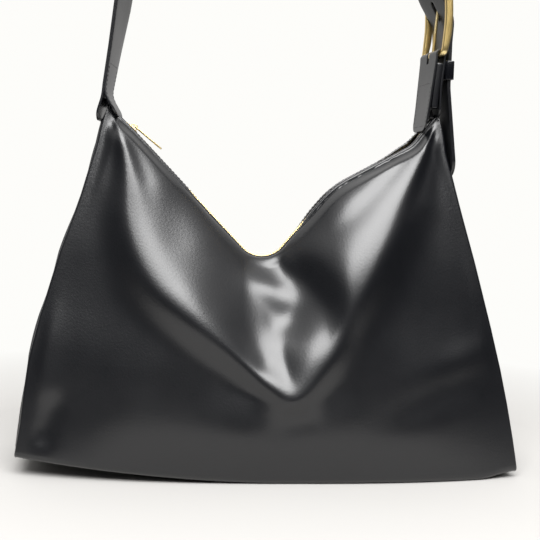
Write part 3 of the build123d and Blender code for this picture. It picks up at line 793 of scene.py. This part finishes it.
# ---- the zip
zipLook = {
    "tapeInner": 1.9 * mm, "tapeOuter": 8.0 * mm, "tape": 0.5 * mm, "tapeSunk": 2.7 * mm,
    "sinkFrom": 2.9 * mm, "sinkOver": 1.4 * mm,
    "pitch": 2.0 * mm, "first": 17 * mm, "count": 163, "toothWidth": 1.05 * mm,
    "toothReach": 2.1 * mm, "toothHeight": 2.0 * mm, "toothGap": 0.1 * mm,
    "toothBevel": 0.22 * mm, "stop": 2.4 * mm, "stopRise": 0.2 * mm, "topStop": 2.0 * mm,
    "topStopY": 1.25 * mm, "bottomStop": 4.6 * mm, "last": 12 * mm, "slider": 22 * mm,
}


def makeTape(name, side):
    look = zipLook

    def place(along, across):
        reach = side * (look["tapeInner"] + (look["tapeOuter"] - look["tapeInner"]) * across)
        sunk = -look["tapeSunk"] * smoothStep((np.abs(reach) - look["sinkFrom"]) / look["sinkOver"])
        return bandPlaces(zipPath, along * zipLength, reach, sunk)

    return makeSheet(name, (240, 12), place, [tapeCloth], look["tape"])


tapeFront = makeTape("zip_tape_front_cloth", -1)
tapeBack = makeTape("zip_tape_back_cloth", 1)


def zipMatrix(distance, y=0.0, out=0.0):  # X along the zip, Y across, Z out of it
    x, z = placeOn(zipPath, distance)
    along = headingOn(zipPath, np.array(distance))
    return Matrix((
        (along[0], 0, -along[1], x - along[1] * out),
        (0, 1, 0, y),
        (along[1], 0, along[0], z + along[0] * out),
        (0, 0, 0, 1),
    ))


def makeTeeth(name, side, lead):
    look = zipLook
    bm = bmesh.new()
    middle = look["toothReach"] / 2 + look["toothGap"]
    size = (look["toothWidth"], look["toothReach"], look["toothHeight"])
    for tooth in range(look["count"]):
        distance = look["first"] + look["pitch"] * (tooth + lead)
        addBlock(bm, zipMatrix(distance, side * middle), size)
    bevelEdges(bm, bm.edges[:], look["toothBevel"])
    return toPiece(name, bm, [toothGold])


teethFront = makeTeeth("zip_teeth_front_row", -1, 0.25)
teethBack = makeTeeth("zip_teeth_back_row", 1, 0.75)


def makeStops():
    look = zipLook
    tall = look["toothHeight"] + look["stopRise"]
    bm = bmesh.new()
    for side in (-1, 1):
        place = zipMatrix(look["first"] - look["stop"] / 2, side * look["topStopY"])
        addBlock(bm, place, (look["stop"], look["topStop"], tall), 0.3 * mm, 2)
    topStops = toPiece("zip_top_stop_pair", bm, [toothGold])
    bm = bmesh.new()
    place = zipMatrix(zipLength - look["last"] + look["stop"] / 2)
    addBlock(bm, place, (look["stop"], look["bottomStop"], tall), 0.35 * mm, 2)
    return topStops, toPiece("zip_bottom_stop_bar", bm, [toothGold])


topStops, bottomStop = makeStops()

sliderLook = {
    "length": 9.0 * mm, "width": 6.2 * mm, "plate": 0.75 * mm, "gap": 0.95 * mm,
    "corner": 1.5 * mm, "flange": (6.4 * mm, 0.5 * mm, 0.4 * mm), "flangeY": 2.83 * mm,
    "flangeZ": 0.76 * mm, "post": (1.6 * mm, 0.26 * mm, 1.9 * mm), "postX": -3.1 * mm,
    "bailRadius": 2.6 * mm, "bailWidth": 1.4 * mm, "bailWall": 0.9 * mm, "bailFoot": 1.7 * mm,
    "bailLeg": 0.7 * mm,
}


def makeSlider():
    look = sliderLook
    bm = bmesh.new()
    for level in (-1, 1):
        middle = Matrix.Translation((0, 0, level * (look["gap"] + look["plate"] / 2)))
        edges = addBlock(bm, middle, (look["length"], look["width"], look["plate"]))
        bevelEdges(bm, [e for e in edges if edgeSpan(e, 2) > 0.1 * mm], look["corner"], 4)
    bevelEdges(bm, [e for e in bm.edges if edgeSpan(e, 2) < 1e-7], 0.2 * mm, 2)
    for side in (-1, 1):
        for height in (-1, 1):
            flange = Matrix.Translation((0, side * look["flangeY"], height * look["flangeZ"]))
            addBlock(bm, flange, look["flange"], 0.08 * mm)
    addBlock(bm, Matrix.Translation((look["postX"], 0, 0)), look["post"])
    # the bail is a half hoop over the top plate
    foot, leg = look["bailFoot"], look["bailLeg"]
    section = (look["bailWall"], look["bailWidth"])
    edges = addOval(bm, (-look["bailRadius"], 0, foot), section, 10)[1]
    hoop = bmesh.ops.spin(
        bm, geom=raiseLoop(bm, edges, leg), cent=(0, 0, foot + leg), axis=(0, 1, 0), angle=pi,
        steps=14,
    )
    raiseLoop(bm, [g for g in hoop["geom_last"] if isinstance(g, bmesh.types.BMEdge)], -leg)
    bmesh.ops.holes_fill(bm, edges=[edge for edge in bm.edges if edge.is_boundary])
    bmesh.ops.remove_doubles(bm, verts=bm.verts, dist=1e-7)
    return toSolid("zip_slider_body", bm, zipMatrix(zipLook["slider"]), buckleGold)


zipSlider = makeSlider()

pullLook = {
    "length": 29 * mm, "width": 5.0 * mm, "wall": 1.4 * mm, "rise": 3.3 * mm, "start": -1.0 * mm,
    "eyeFrom": 0.8 * mm, "eye": 3.0 * mm, "eyeRim": 0.9 * mm, "corner": 1.6 * mm,
    "edge": 0.28 * mm, "tilt": 7,
}


def makePull():
    look = pullLook
    start, eyeFrom = look["start"], look["eyeFrom"]
    bm = bmesh.new()
    middle = Matrix.Translation((start + look["length"] / 2, 0, 0))
    addBlock(bm, middle, (look["length"], look["width"], look["wall"]))
    for cut in (eyeFrom, eyeFrom + look["eye"]):
        sliceAt(bm, (cut, 0, 0), (1, 0, 0))
    eye = [
        f for f in bm.faces
        if abs(f.normal.z) > 0.9 and eyeFrom < f.calc_center_median().x < eyeFrom + look["eye"]
    ]
    bmesh.ops.inset_region(bm, faces=eye, thickness=0.0)
    bmesh.ops.inset_individual(bm, faces=eye, thickness=look["eyeRim"])
    loops = list({edge for face in eye for edge in face.edges})
    bmesh.ops.delete(bm, geom=eye, context="FACES_ONLY")
    bmesh.ops.bridge_loops(bm, edges=loops)
    bmesh.ops.remove_doubles(bm, verts=bm.verts, dist=1e-7)
    upright = [
        e for e in bm.edges
        if edgeSpan(e, 2) > 0.5 * look["wall"]
        and abs(abs(e.verts[0].co.y) - look["width"] / 2) < 1e-6
        and not start + 1e-5 <= e.verts[0].co.x <= start + look["length"] - 1e-5
    ]
    bevelEdges(bm, upright, look["corner"], 4)
    bevelEdges(bm, sharpEdges(bm), look["edge"], 2)
    home = zipMatrix(zipLook["slider"]) @ Matrix.Translation((0, 0, look["rise"]))
    home = home @ Matrix.Rotation(-radians(look["tilt"]), 4, "Y")
    return toSolid("zip_pull_bar", bm, home, buckleGold)


zipPull = makePull()
print("zip made")

# ---- strap, fork and tail
strapShape = {
    "corners": [(-136, 281), (-135.5, 306), (-115, 432), (-80, 540), (-40, 588), (24, 586),
                (138.4, 371), (138.4, 316), (147, 243)],
    "radii": [60, 250, 150, 65, 55, 25, 60], "half": 20 * mm, "ply": 1.62 * mm,
    "plyOut": 0.85 * mm, "forkFrom": 3 * mm, "forkTo": 27 * mm,
    "forkOut": {1: 4.5 * mm, -1: 9.4 * mm}, "innerStart": 4 * mm, "tip": 16 * mm,
    "legCorner": 7 * mm, "passX": 133.5 * mm, "hole": 2.1 * mm, "slotHalf": 7 * mm,
    "passRange": (220 * mm, 90 * mm), "crown": 0.35 * mm, "edge": 0.42 * mm,
    "holes": [-50 * mm, -25 * mm, 50 * mm, 75 * mm],
}
strapPath = roundedPath(strapShape["corners"], strapShape["radii"])
strapEnd = strapPath["at"][-1]
# the strap turns a little towards the front, going up from the left peak and down to the buckle
strapPath["turnAt"] = np.array([
    0, 31 * mm, 58 * mm, 93 * mm, 220 * mm, 400 * mm, strapEnd - 300 * mm, strapEnd - 150 * mm,
    strapEnd - 110 * mm, strapEnd,
])
strapPath["turn"] = np.array([0.05, 0.09, 0.125, 0.2, 0.2, 0, 0, 0.2, 0.09, 0.09])


def passDistance():  # where the strap goes through the buckle
    first, last = strapShape["passRange"]
    tried = np.linspace(strapEnd - first, strapEnd - last, 500)
    return tried[np.argmin(np.abs(placeOn(strapPath, tried)[0] - strapShape["passX"]))]


def endTaper(distance, start, finish, corner, tip):  # the share of the half width left
    fromStart = np.clip(1 - (distance - start) / corner, 0, 1)
    fromEnd = np.clip(1 - (finish - distance) / tip, 0, 1)
    squared = 1 - (corner / strapShape["half"]) * (1 - np.sqrt(1 - fromStart ** 2))
    return squared * np.sqrt(np.maximum(1 - fromEnd ** 2, 0.0016))


def strapOut(distance, side):
    shape = strapShape
    spread = 1 - smoothStep((distance - shape["forkFrom"]) / (shape["forkTo"] - shape["forkFrom"]))
    return side * (shape["plyOut"] + shape["forkOut"][side] * spread ** 1.4)


def punch(bm, along, across, centre, half, radius):  # a round hole, or a slot when half isn't 0
    gapAlong = along - centre
    gapAlong = gapAlong - np.clip(gapAlong, -half, half)
    gap = np.hypot(gapAlong, across)
    cut = []
    for face in bm.faces:
        corners = [vert.index for vert in face.verts]
        if np.mean(gap[corners]) < radius:
            cut.append(face)
    ring = list({vert.index for face in cut for vert in face.verts})
    scale = radius / np.maximum(gap[ring], 1e-9)
    along[ring] += gapAlong[ring] * (scale - 1)
    across[ring] *= scale
    return cut


def makePly(name, side, start):
    shape = strapShape
    bm, along, across = sheetGrid(620, 30)
    distance = start + (strapEnd - start) * along
    w = across * 2 - 1
    taper = endTaper(distance, start, strapEnd, shape["legCorner"], shape["tip"])
    reach = w * shape["half"] * taper
    bm.verts.index_update()
    middle = passDistance()
    cut = punch(bm, distance, reach, middle, shape["slotHalf"], shape["hole"])
    for step in shape["holes"]:
        cut += punch(bm, distance, reach, middle + step, 0, shape["hole"])
    out = strapOut(distance, side) - side * shape["crown"] * w ** 6
    moveVerts(bm, bandPlaces(strapPath, distance, reach, out))
    bmesh.ops.delete(bm, geom=cut, context="FACES")
    piece = toPiece(name, bm, [strapLeather, edgePaint])
    return faceOutwards(thicken(piece, shape["ply"], offset=0.0, bevel=shape["edge"], rim=True))


strapOuter = makePly("strap_outer_ply", 1, 0.0)
strapInner = makePly("strap_inner_ply", -1, strapShape["innerStart"])

tabShape = {
    "corners": [(121.8, 281), (124.2, 302), (127.65, 340), (127.65, 346.35), (134.35, 346.35),
                (134.35, 340), (132.6, 316), (133.2, 292.5)],
    "radii": [30, 30, 3.34, 3.34, 30, 30], "half": 20 * mm, "wall": 1.62 * mm, "slot": 2.4 * mm,
    "fillCorners": [(128.4, 299.5), (129.4, 316), (131, 336)], "fill": 5.2 * mm,
    "fillInset": 0.7 * mm, "corner": 8 * mm, "footShare": 0.6, "slotFrom": 337 * mm,
    "turnZ": [281 * mm, 341 * mm], "turn": [0.02, 0.09],
}
tabPath = roundedPath(tabShape["corners"], tabShape["radii"])
tabEnd = tabPath["at"][-1]


def turnTab(places):  # the tab's front edge swings out to the right, more towards its top
    slope = np.interp(places[:, 2], tabShape["turnZ"], tabShape["turn"])
    places[:, 0] -= places[:, 1] * slope
    return places


def makeTab():
    shape = tabShape
    bm, along, across = sheetGrid(150, 34)
    distance = tabEnd * along
    w = across * 2 - 1
    taper = endTaper(distance, 0.0, tabEnd, shape["corner"], shape["corner"])
    foot = shape["footShare"]
    squared = np.where(distance > tabEnd / 2, foot + (1 - foot) * taper, taper)
    moveVerts(bm, turnTab(bandPlaces(tabPath, distance, w * shape["half"] * squared, 0.0)))
    slot = [
        face for face in bm.faces
        if abs(face.calc_center_median().y) < shape["slot"]
        and face.calc_center_median().z > shape["slotFrom"]
    ]
    bmesh.ops.delete(bm, geom=slot, context="FACES")
    piece = toPiece("buckle_tab_leather", bm, [strapLeather, edgePaint])
    return faceOutwards(
        thicken(piece, shape["wall"], offset=0.0, bevel=strapShape["edge"], rim=True)
    )


def makeTabFilling():
    path = roundedPath(tabShape["fillCorners"], [60])

    def place(along, across):
        reach = (across * 2 - 1) * (tabShape["half"] - tabShape["fillInset"])
        return turnTab(bandPlaces(path, path["at"][-1] * along, reach, 0.0))

    return makeSheet(
        "tab_filling_leather", (16, 4), place, [edgePaint], tabShape["fill"], bevel=0.8 * mm
    )


buckleTab = makeTab()
tabFilling = makeTabFilling()

tongueLook = {
    "wall": 4.2 * mm, "half": 10 * mm, "low": 291.5 * mm, "high": 299 * mm, "slim": 0.75,
    "edge": 1.2 * mm, "x": {-1: -135.4 * mm, 1: 129.4 * mm},
}


def makeTongue(name, side):
    look = tongueLook
    x, low, rise = look["x"][side], look["low"], look["high"] - look["low"]
    bm = bmesh.new()
    place = Matrix.Translation((x, 0, low + rise / 2))
    addBlock(bm, place, (look["wall"], 2 * look["half"], rise), look["edge"], 3)
    for vert in bm.verts:  # thinner towards its top
        vert.co.x = x + (vert.co.x - x) * (1 - look["slim"] * (vert.co.z - low) / rise)
    return toPiece(name, bm, [bagLeather])


leftTongue = makeTongue("left_peak_leather", -1)
rightTongue = makeTongue("right_peak_leather", 1)


# ---- buckle
def makeRing(name, material, look, axis):  # a rounded ring round an axis, 0 for X and 2 for Z
    size = look["size"]
    bm = bmesh.new()
    edges = addBlock(bm, Matrix.Identity(4), size)
    bevelEdges(bm, [e for e in edges if edgeSpan(e, axis) > 0.5 * size[axis]], look["corner"], 5)
    caps = [f for f in bm.faces if abs(f.normal[axis]) > 0.99]
    bmesh.ops.inset_individual(bm, faces=caps, thickness=look["wall"])
    loops = list({edge for face in caps for edge in face.edges})
    bmesh.ops.delete(bm, geom=caps, context="FACES_ONLY")
    bmesh.ops.bridge_loops(bm, edges=loops)
    bevelEdges(bm, sharpEdges(bm), look["edge"], 3)
    cuts, heel, bow = look.get("cuts", 0), look.get("heelShare", 1.0), look.get("bow", 0.0)
    for cut in range(1, cuts):
        sliceAt(bm, (0, 0, size[2] * (cut / cuts - 0.5)), (0, 0, 1))
    for vert in bm.verts:
        share = vert.co.z / size[2] + 0.5
        slim = heel + (1 - heel) * float(smoothStep((share - 0.08) / 0.2))
        bulge = bow * (1 - (2 * share - 1) ** 2)
        vert.co.x = vert.co.x * slim + bulge - look["slope"] * vert.co.y
    return toSolid(name, bm, Matrix.Translation(look["place"]), material)


buckleLook = {
    "size": (6.0 * mm, 52 * mm, 61.4 * mm), "wall": 4.6 * mm, "corner": 6 * mm, "edge": 1.2 * mm,
    "place": (131 * mm, 0, 371.5 * mm), "slope": 0.095, "bow": 3.5 * mm, "heelShare": 0.78,
    "cuts": 14, "heel": (131 * mm, 0, 343 * mm),
}
keeperShape = {
    "size": (7.4 * mm, 43.8 * mm, 15 * mm), "wall": 1.4 * mm, "corner": 2.4 * mm,
    "edge": 0.5 * mm, "place": (138.4 * mm, 0, 330 * mm), "slope": 0.09,
}
buckleFrame = makeRing("buckle_frame_gold", buckleGold, buckleLook, 0)
strapKeeper = makeRing("keeper_loop_leather", keeperLeather, keeperShape, 2)

prongLook = {
    "wide": 2.6 * mm, "thick": 2.4 * mm, "length": 56 * mm, "ring": 3.1 * mm, "tube": 1.55 * mm,
    "band": 3.9 * mm, "foot": 1 * mm, "cuts": 22, "slim": 0.35, "lean": 4.2 * mm, "bow": 0.4 * mm,
    "edge": 0.7 * mm,
}


def makeProng():
    look = prongLook
    foot, length = look["foot"], look["length"]
    bm = bmesh.new()
    middle = Matrix.Translation((0, 0, foot + length / 2))
    addBlock(bm, middle, (look["thick"], look["wide"], length))
    for cut in range(1, look["cuts"]):
        sliceAt(bm, (0, 0, foot + length * cut / look["cuts"]), (0, 0, 1))
    bevelEdges(bm, sharpEdges(bm), look["edge"], 3)
    for vert in bm.verts:
        share = min(max(vert.co.z / (length + foot), 0), 1)
        slim = 1 - look["slim"] * share ** 2
        bend = look["lean"] * share ** 1.6 + look["bow"] * sin(pi * share)
        vert.co.x = vert.co.x * slim + bend
        vert.co.y *= slim
    verts, edges = addOval(bm, (look["ring"], 0, 0), (look["tube"], look["band"]), 12)
    bmesh.ops.spin(
        bm, geom=verts + edges, cent=(0, 0, 0), axis=(0, 1, 0), angle=2 * pi, steps=28,
        use_merge=True,
    )
    return toSolid("buckle_prong_gold", bm, Matrix.Translation(buckleLook["heel"]), buckleGold)


buckleProng = makeProng()
print("strap and buckle made")


# ---- stitches
stitchLook = {
    "length": 2.4 * mm, "thick": 0.5 * mm, "flat": 0.7, "pitch": 3.4 * mm, "edge": 17.2 * mm,
    "perRow": 9, "strapRun": (12 * mm, 44 * mm), "strapRow": 45 * mm, "rimRun": (16 * mm, 12 * mm),
    "rimEdge": 6.2 * mm,
}


def addRow(bm, path, distance, y, out, count, turned=None, across=False):
    # a straight row along or across a strip, with its middle at distance and y, out from its line
    look = stitchLook
    stitch = bmesh.new()
    size = Matrix.Diagonal((look["length"], look["thick"], look["thick"] * look["flat"], 1))
    bmesh.ops.create_uvsphere(stitch, u_segments=6, v_segments=4, radius=0.5, matrix=size)
    row = toPiece("stitch_row", stitch, [])
    array = row.modifiers.new("row", "ARRAY")
    array.count = count
    array.use_relative_offset = False
    array.use_constant_offset = True
    array.constant_offset_displace = (look["pitch"], 0, 0)
    x, aside, lift = np.array([vert.co for vert in settle(row).data.vertices]).T
    x = x - look["pitch"] * (count - 1) / 2
    if across:
        x, aside = -aside, x
    distance = distance + x
    lift = lift + (out(distance) if callable(out) else out)
    places = bandPlaces(path, distance, y + aside, lift)
    for vert, place in zip(row.data.vertices, turned(places) if turned else places):
        vert.co = place
    bm.from_mesh(row.data)
    bpy.data.objects.remove(row)


def addRun(bm, path, start, finish, y, out, turned=None):
    count = max(2, int((finish - start) / stitchLook["pitch"]))
    addRow(bm, path, (start + finish) / 2, y, out, count, turned)


def makeStrapStitches():
    look = stitchLook
    bm = bmesh.new()
    lift = strapShape["ply"] / 2
    for side in (-1, 1):
        for y in (-look["edge"], look["edge"]):
            addRun(
                bm, strapPath, *look["strapRun"], y,
                lambda distance, side=side: strapOut(distance, side) + side * lift,
            )
        out = side * (strapShape["plyOut"] + lift)
        addRow(bm, strapPath, look["strapRow"], 0, out, look["perRow"], across=True)
    return toPiece("strap_stitches", bm, [stitchThread])


def makeTabStitches():
    bm = bmesh.new()
    lift = tabShape["wall"] / 2
    for start, finish in ((5 * mm, 38 * mm), (tabEnd - 28 * mm, tabEnd - 3 * mm)):
        for y in (-stitchLook["edge"], stitchLook["edge"]):
            addRun(bm, tabPath, start, finish, y, lift, turnTab)
    for distance in (4 * mm, 39 * mm, tabEnd - 29 * mm):
        addRow(bm, tabPath, distance, 0, lift, stitchLook["perRow"], turnTab, across=True)
    return toPiece("tab_stitches", bm, [stitchThread])


def makeRimStitches():
    bm = bmesh.new()
    first, last = stitchLook["rimRun"]
    for side in (-1, 1):
        addRun(
            bm, zipPath, first, zipLength - last, side * stitchLook["rimEdge"],
            lambda distance, side=side: rimHeight(distance / zipLength, side) + 0.02 * mm,
        )
    return toPiece("rim_stitches", bm, [stitchThread])


strapStitches = makeStrapStitches()
tabStitches = makeTabStitches()
rimStitches = makeRimStitches()
print("stitches made")

# ---- what rides on what
def setFacts(piece, slotName, *replaced):
    if replaced:
        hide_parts(*replaced)


for piece, *facts in (
    (frontSkin, "leather", "front_panel", "zip_facing_front"),
    (backSkin, "leather", "back_panel", "zip_facing_back"),
    (leftGusset, "leather", "left_gusset"),
    (rightGusset, "leather", "right_gusset"),
    (baseSkin, "leather", "base_panel"),
    (baseBoard, "board", "base_board"),
    (liningFloor, "lining", "lining_base"),
    (liningFront, "lining", "lining_front"),
    (liningBack, "lining", "lining_back"),
    (liningLeft, "lining", "lining_left"),
    (liningRight, "lining", "lining_right"),
    (slipPocket, "lining", "slip_pocket"),
    (tapeFront, "zip_tape", "zip_tape_front"),
    (tapeBack, "zip_tape", "zip_tape_back"),
    (teethFront, "zip_metal", "zip_teeth_front"),
    (teethBack, "zip_metal", "zip_teeth_back"),
    (topStops, "zip_metal", "zip_top_stops"),
    (bottomStop, "zip_metal", "zip_bottom_stop"),
    (leftTongue, "leather", "left_peak_tongue"),
    (rightTongue, "leather", "right_peak_tongue"),
    (rimStitches, "leather"),
):
    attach(piece, "bag")
    setFacts(piece, *facts)
for piece, body, *facts in (
    (zipSlider, "zip_slider", "gold_metal", "zip_slider"),
    (zipPull, "zip_pull", "gold_metal", "zip_pull"),
    (buckleFrame, "buckle_frame", "gold_metal", "buckle_frame"),
    (buckleProng, "buckle_prong", "gold_metal", "buckle_prong"),
    (strapKeeper, "strap", "keeper_leather", "strap_keeper"),
):
    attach(piece, body)
    setFacts(piece, *facts)
leftBend = {"start": (-0.131, 0, 0.298), "end": (-0.117, 0, 0.332)}
rightBend = {"start": (0.131, 0, 0.298), "end": (0.131, 0, 0.332)}
for piece, bend, *replaced in (
    (strapOuter, leftBend, "strap_outer_layer", "left_flap_outer"),
    (strapInner, leftBend, "strap_inner_layer", "left_flap_inner"),
    (strapStitches, leftBend),
    (buckleTab, rightBend, "buckle_tab", "tab_foot_outer", "tab_foot_inner"),
    (tabFilling, rightBend),
    (tabStitches, rightBend),
):
    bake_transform(piece)
    setFacts(piece, "strap_leather", *replaced)
print("pieces ride on their bodies")

# ---- floor, light and camera
stageLook = {
    "floor": (0.45, 0.442, 0.43, 1), "background": (0.985, 0.98, 0.955, 1), "radius": 0.62,
    "near": 0.30, "far": 0.60, "room": (1.0, 0.99, 0.975, 1),
    # strengths of the room low, overhead and behind the bag
    "low": 0.04, "overhead": 1.3, "behind": 0.7,
}


def mixShaders(tree, factor, low, high):
    mixed = addNode(tree, "ShaderNodeMixShader")
    for socket, value in zip(mixed.inputs, (factor, low.outputs[0], high.outputs[0])):
        tree.links.new(value, socket)
    return mixed.outputs[0]


def makeStage():
    bm = bmesh.new()
    bmesh.ops.create_circle(bm, cap_ends=True, segments=96, radius=stageLook["radius"])
    floor = toPiece("studio_floor", bm, [])
    material = bpy.data.materials.new("floorPaper")
    material.use_nodes = True
    tree = material.node_tree
    tree.nodes.clear()
    coordinates = addNode(tree, "ShaderNodeTexCoord")
    distance = addNode(tree, "ShaderNodeVectorMath", {"operation": "LENGTH"})
    tree.links.new(coordinates.outputs["Object"], distance.inputs[0])
    faded = remap(tree, distance.outputs["Value"], 0.0, 1.0, stageLook["near"], stageLook["far"])
    rays = addNode(tree, "ShaderNodeLightPath")
    seen = addMath(tree, "MULTIPLY", faded, rays.outputs["Is Camera Ray"])
    paper = addNode(tree, "ShaderNodeBsdfDiffuse", None, Color=stageLook["floor"])
    glow = addNode(tree, "ShaderNodeEmission", None, Color=stageLook["background"], Strength=1.0)
    mixed = mixShaders(tree, seen, paper, glow)
    addNode(tree, "ShaderNodeOutputMaterial", None, Surface=mixed)
    floor.data.materials.append(material)


def makeWorld():
    look = stageLook
    world = bpy.data.worlds.new("studio")
    bpy.context.scene.world = world
    world.use_nodes = True
    tree = world.node_tree
    tree.nodes.clear()
    direction = addNode(tree, "ShaderNodeTexCoord").outputs["Generated"]
    split = addNode(tree, "ShaderNodeSeparateXYZ", None, Vector=direction)
    above = remap(tree, split.outputs["Z"], look["low"], look["overhead"], 0.3, 0.95)
    behind = remap(tree, split.outputs["Y"], 0.0, look["behind"], 0.2, 0.8)
    room = addNode(
        tree, "ShaderNodeBackground", None, Color=look["room"],
        Strength=addMath(tree, "ADD", above, behind),
    )
    paper = addNode(tree, "ShaderNodeBackground", None, Color=look["background"], Strength=1.0)
    rays = addNode(tree, "ShaderNodeLightPath")
    mixed = mixShaders(tree, rays.outputs["Is Camera Ray"], room, paper)
    addNode(tree, "ShaderNodeOutputWorld", None, Surface=mixed)


def addLamp(name, place, target, size, power):
    lamp = bpy.data.lights.new(name, "AREA")
    lamp.shape = "RECTANGLE"
    lamp.size, lamp.size_y = size
    lamp.energy = power
    holder = bpy.data.objects.new(name, lamp)
    holder.location = place
    holder.rotation_euler = (Vector(target) - Vector(place)).to_track_quat("-Z", "Y").to_euler()
    bpy.context.collection.objects.link(holder)


cameraLook = {
    "place": (-0.0699, -0.80, 0.233), "lens": 64.44, "turn": 5.02, "tip": -5.0, "roll": 1.63,
}


def makeCamera():
    look = cameraLook
    camera = bpy.data.cameras.new("view")
    camera.sensor_width = 36
    camera.lens = look["lens"]
    holder = bpy.data.objects.new("view", camera)
    turned = Matrix.Rotation(radians(-look["turn"]), 4, "Z")
    turned = turned @ Matrix.Rotation(radians(90 + look["tip"]), 4, "X")
    turned = turned @ Matrix.Rotation(radians(look["roll"]), 4, "Z")
    holder.matrix_world = Matrix.Translation(look["place"]) @ turned
    bpy.context.collection.objects.link(holder)
    bpy.context.scene.camera = holder


makeStage()
makeWorld()
addLamp("window light", (0.0, -1.05, 1.42), (0, 0, 0.16), (1.6, 1.0), 58)
makeCamera()
bpy.context.scene.view_settings.view_transform = "Standard"
print("stage, light and camera set")
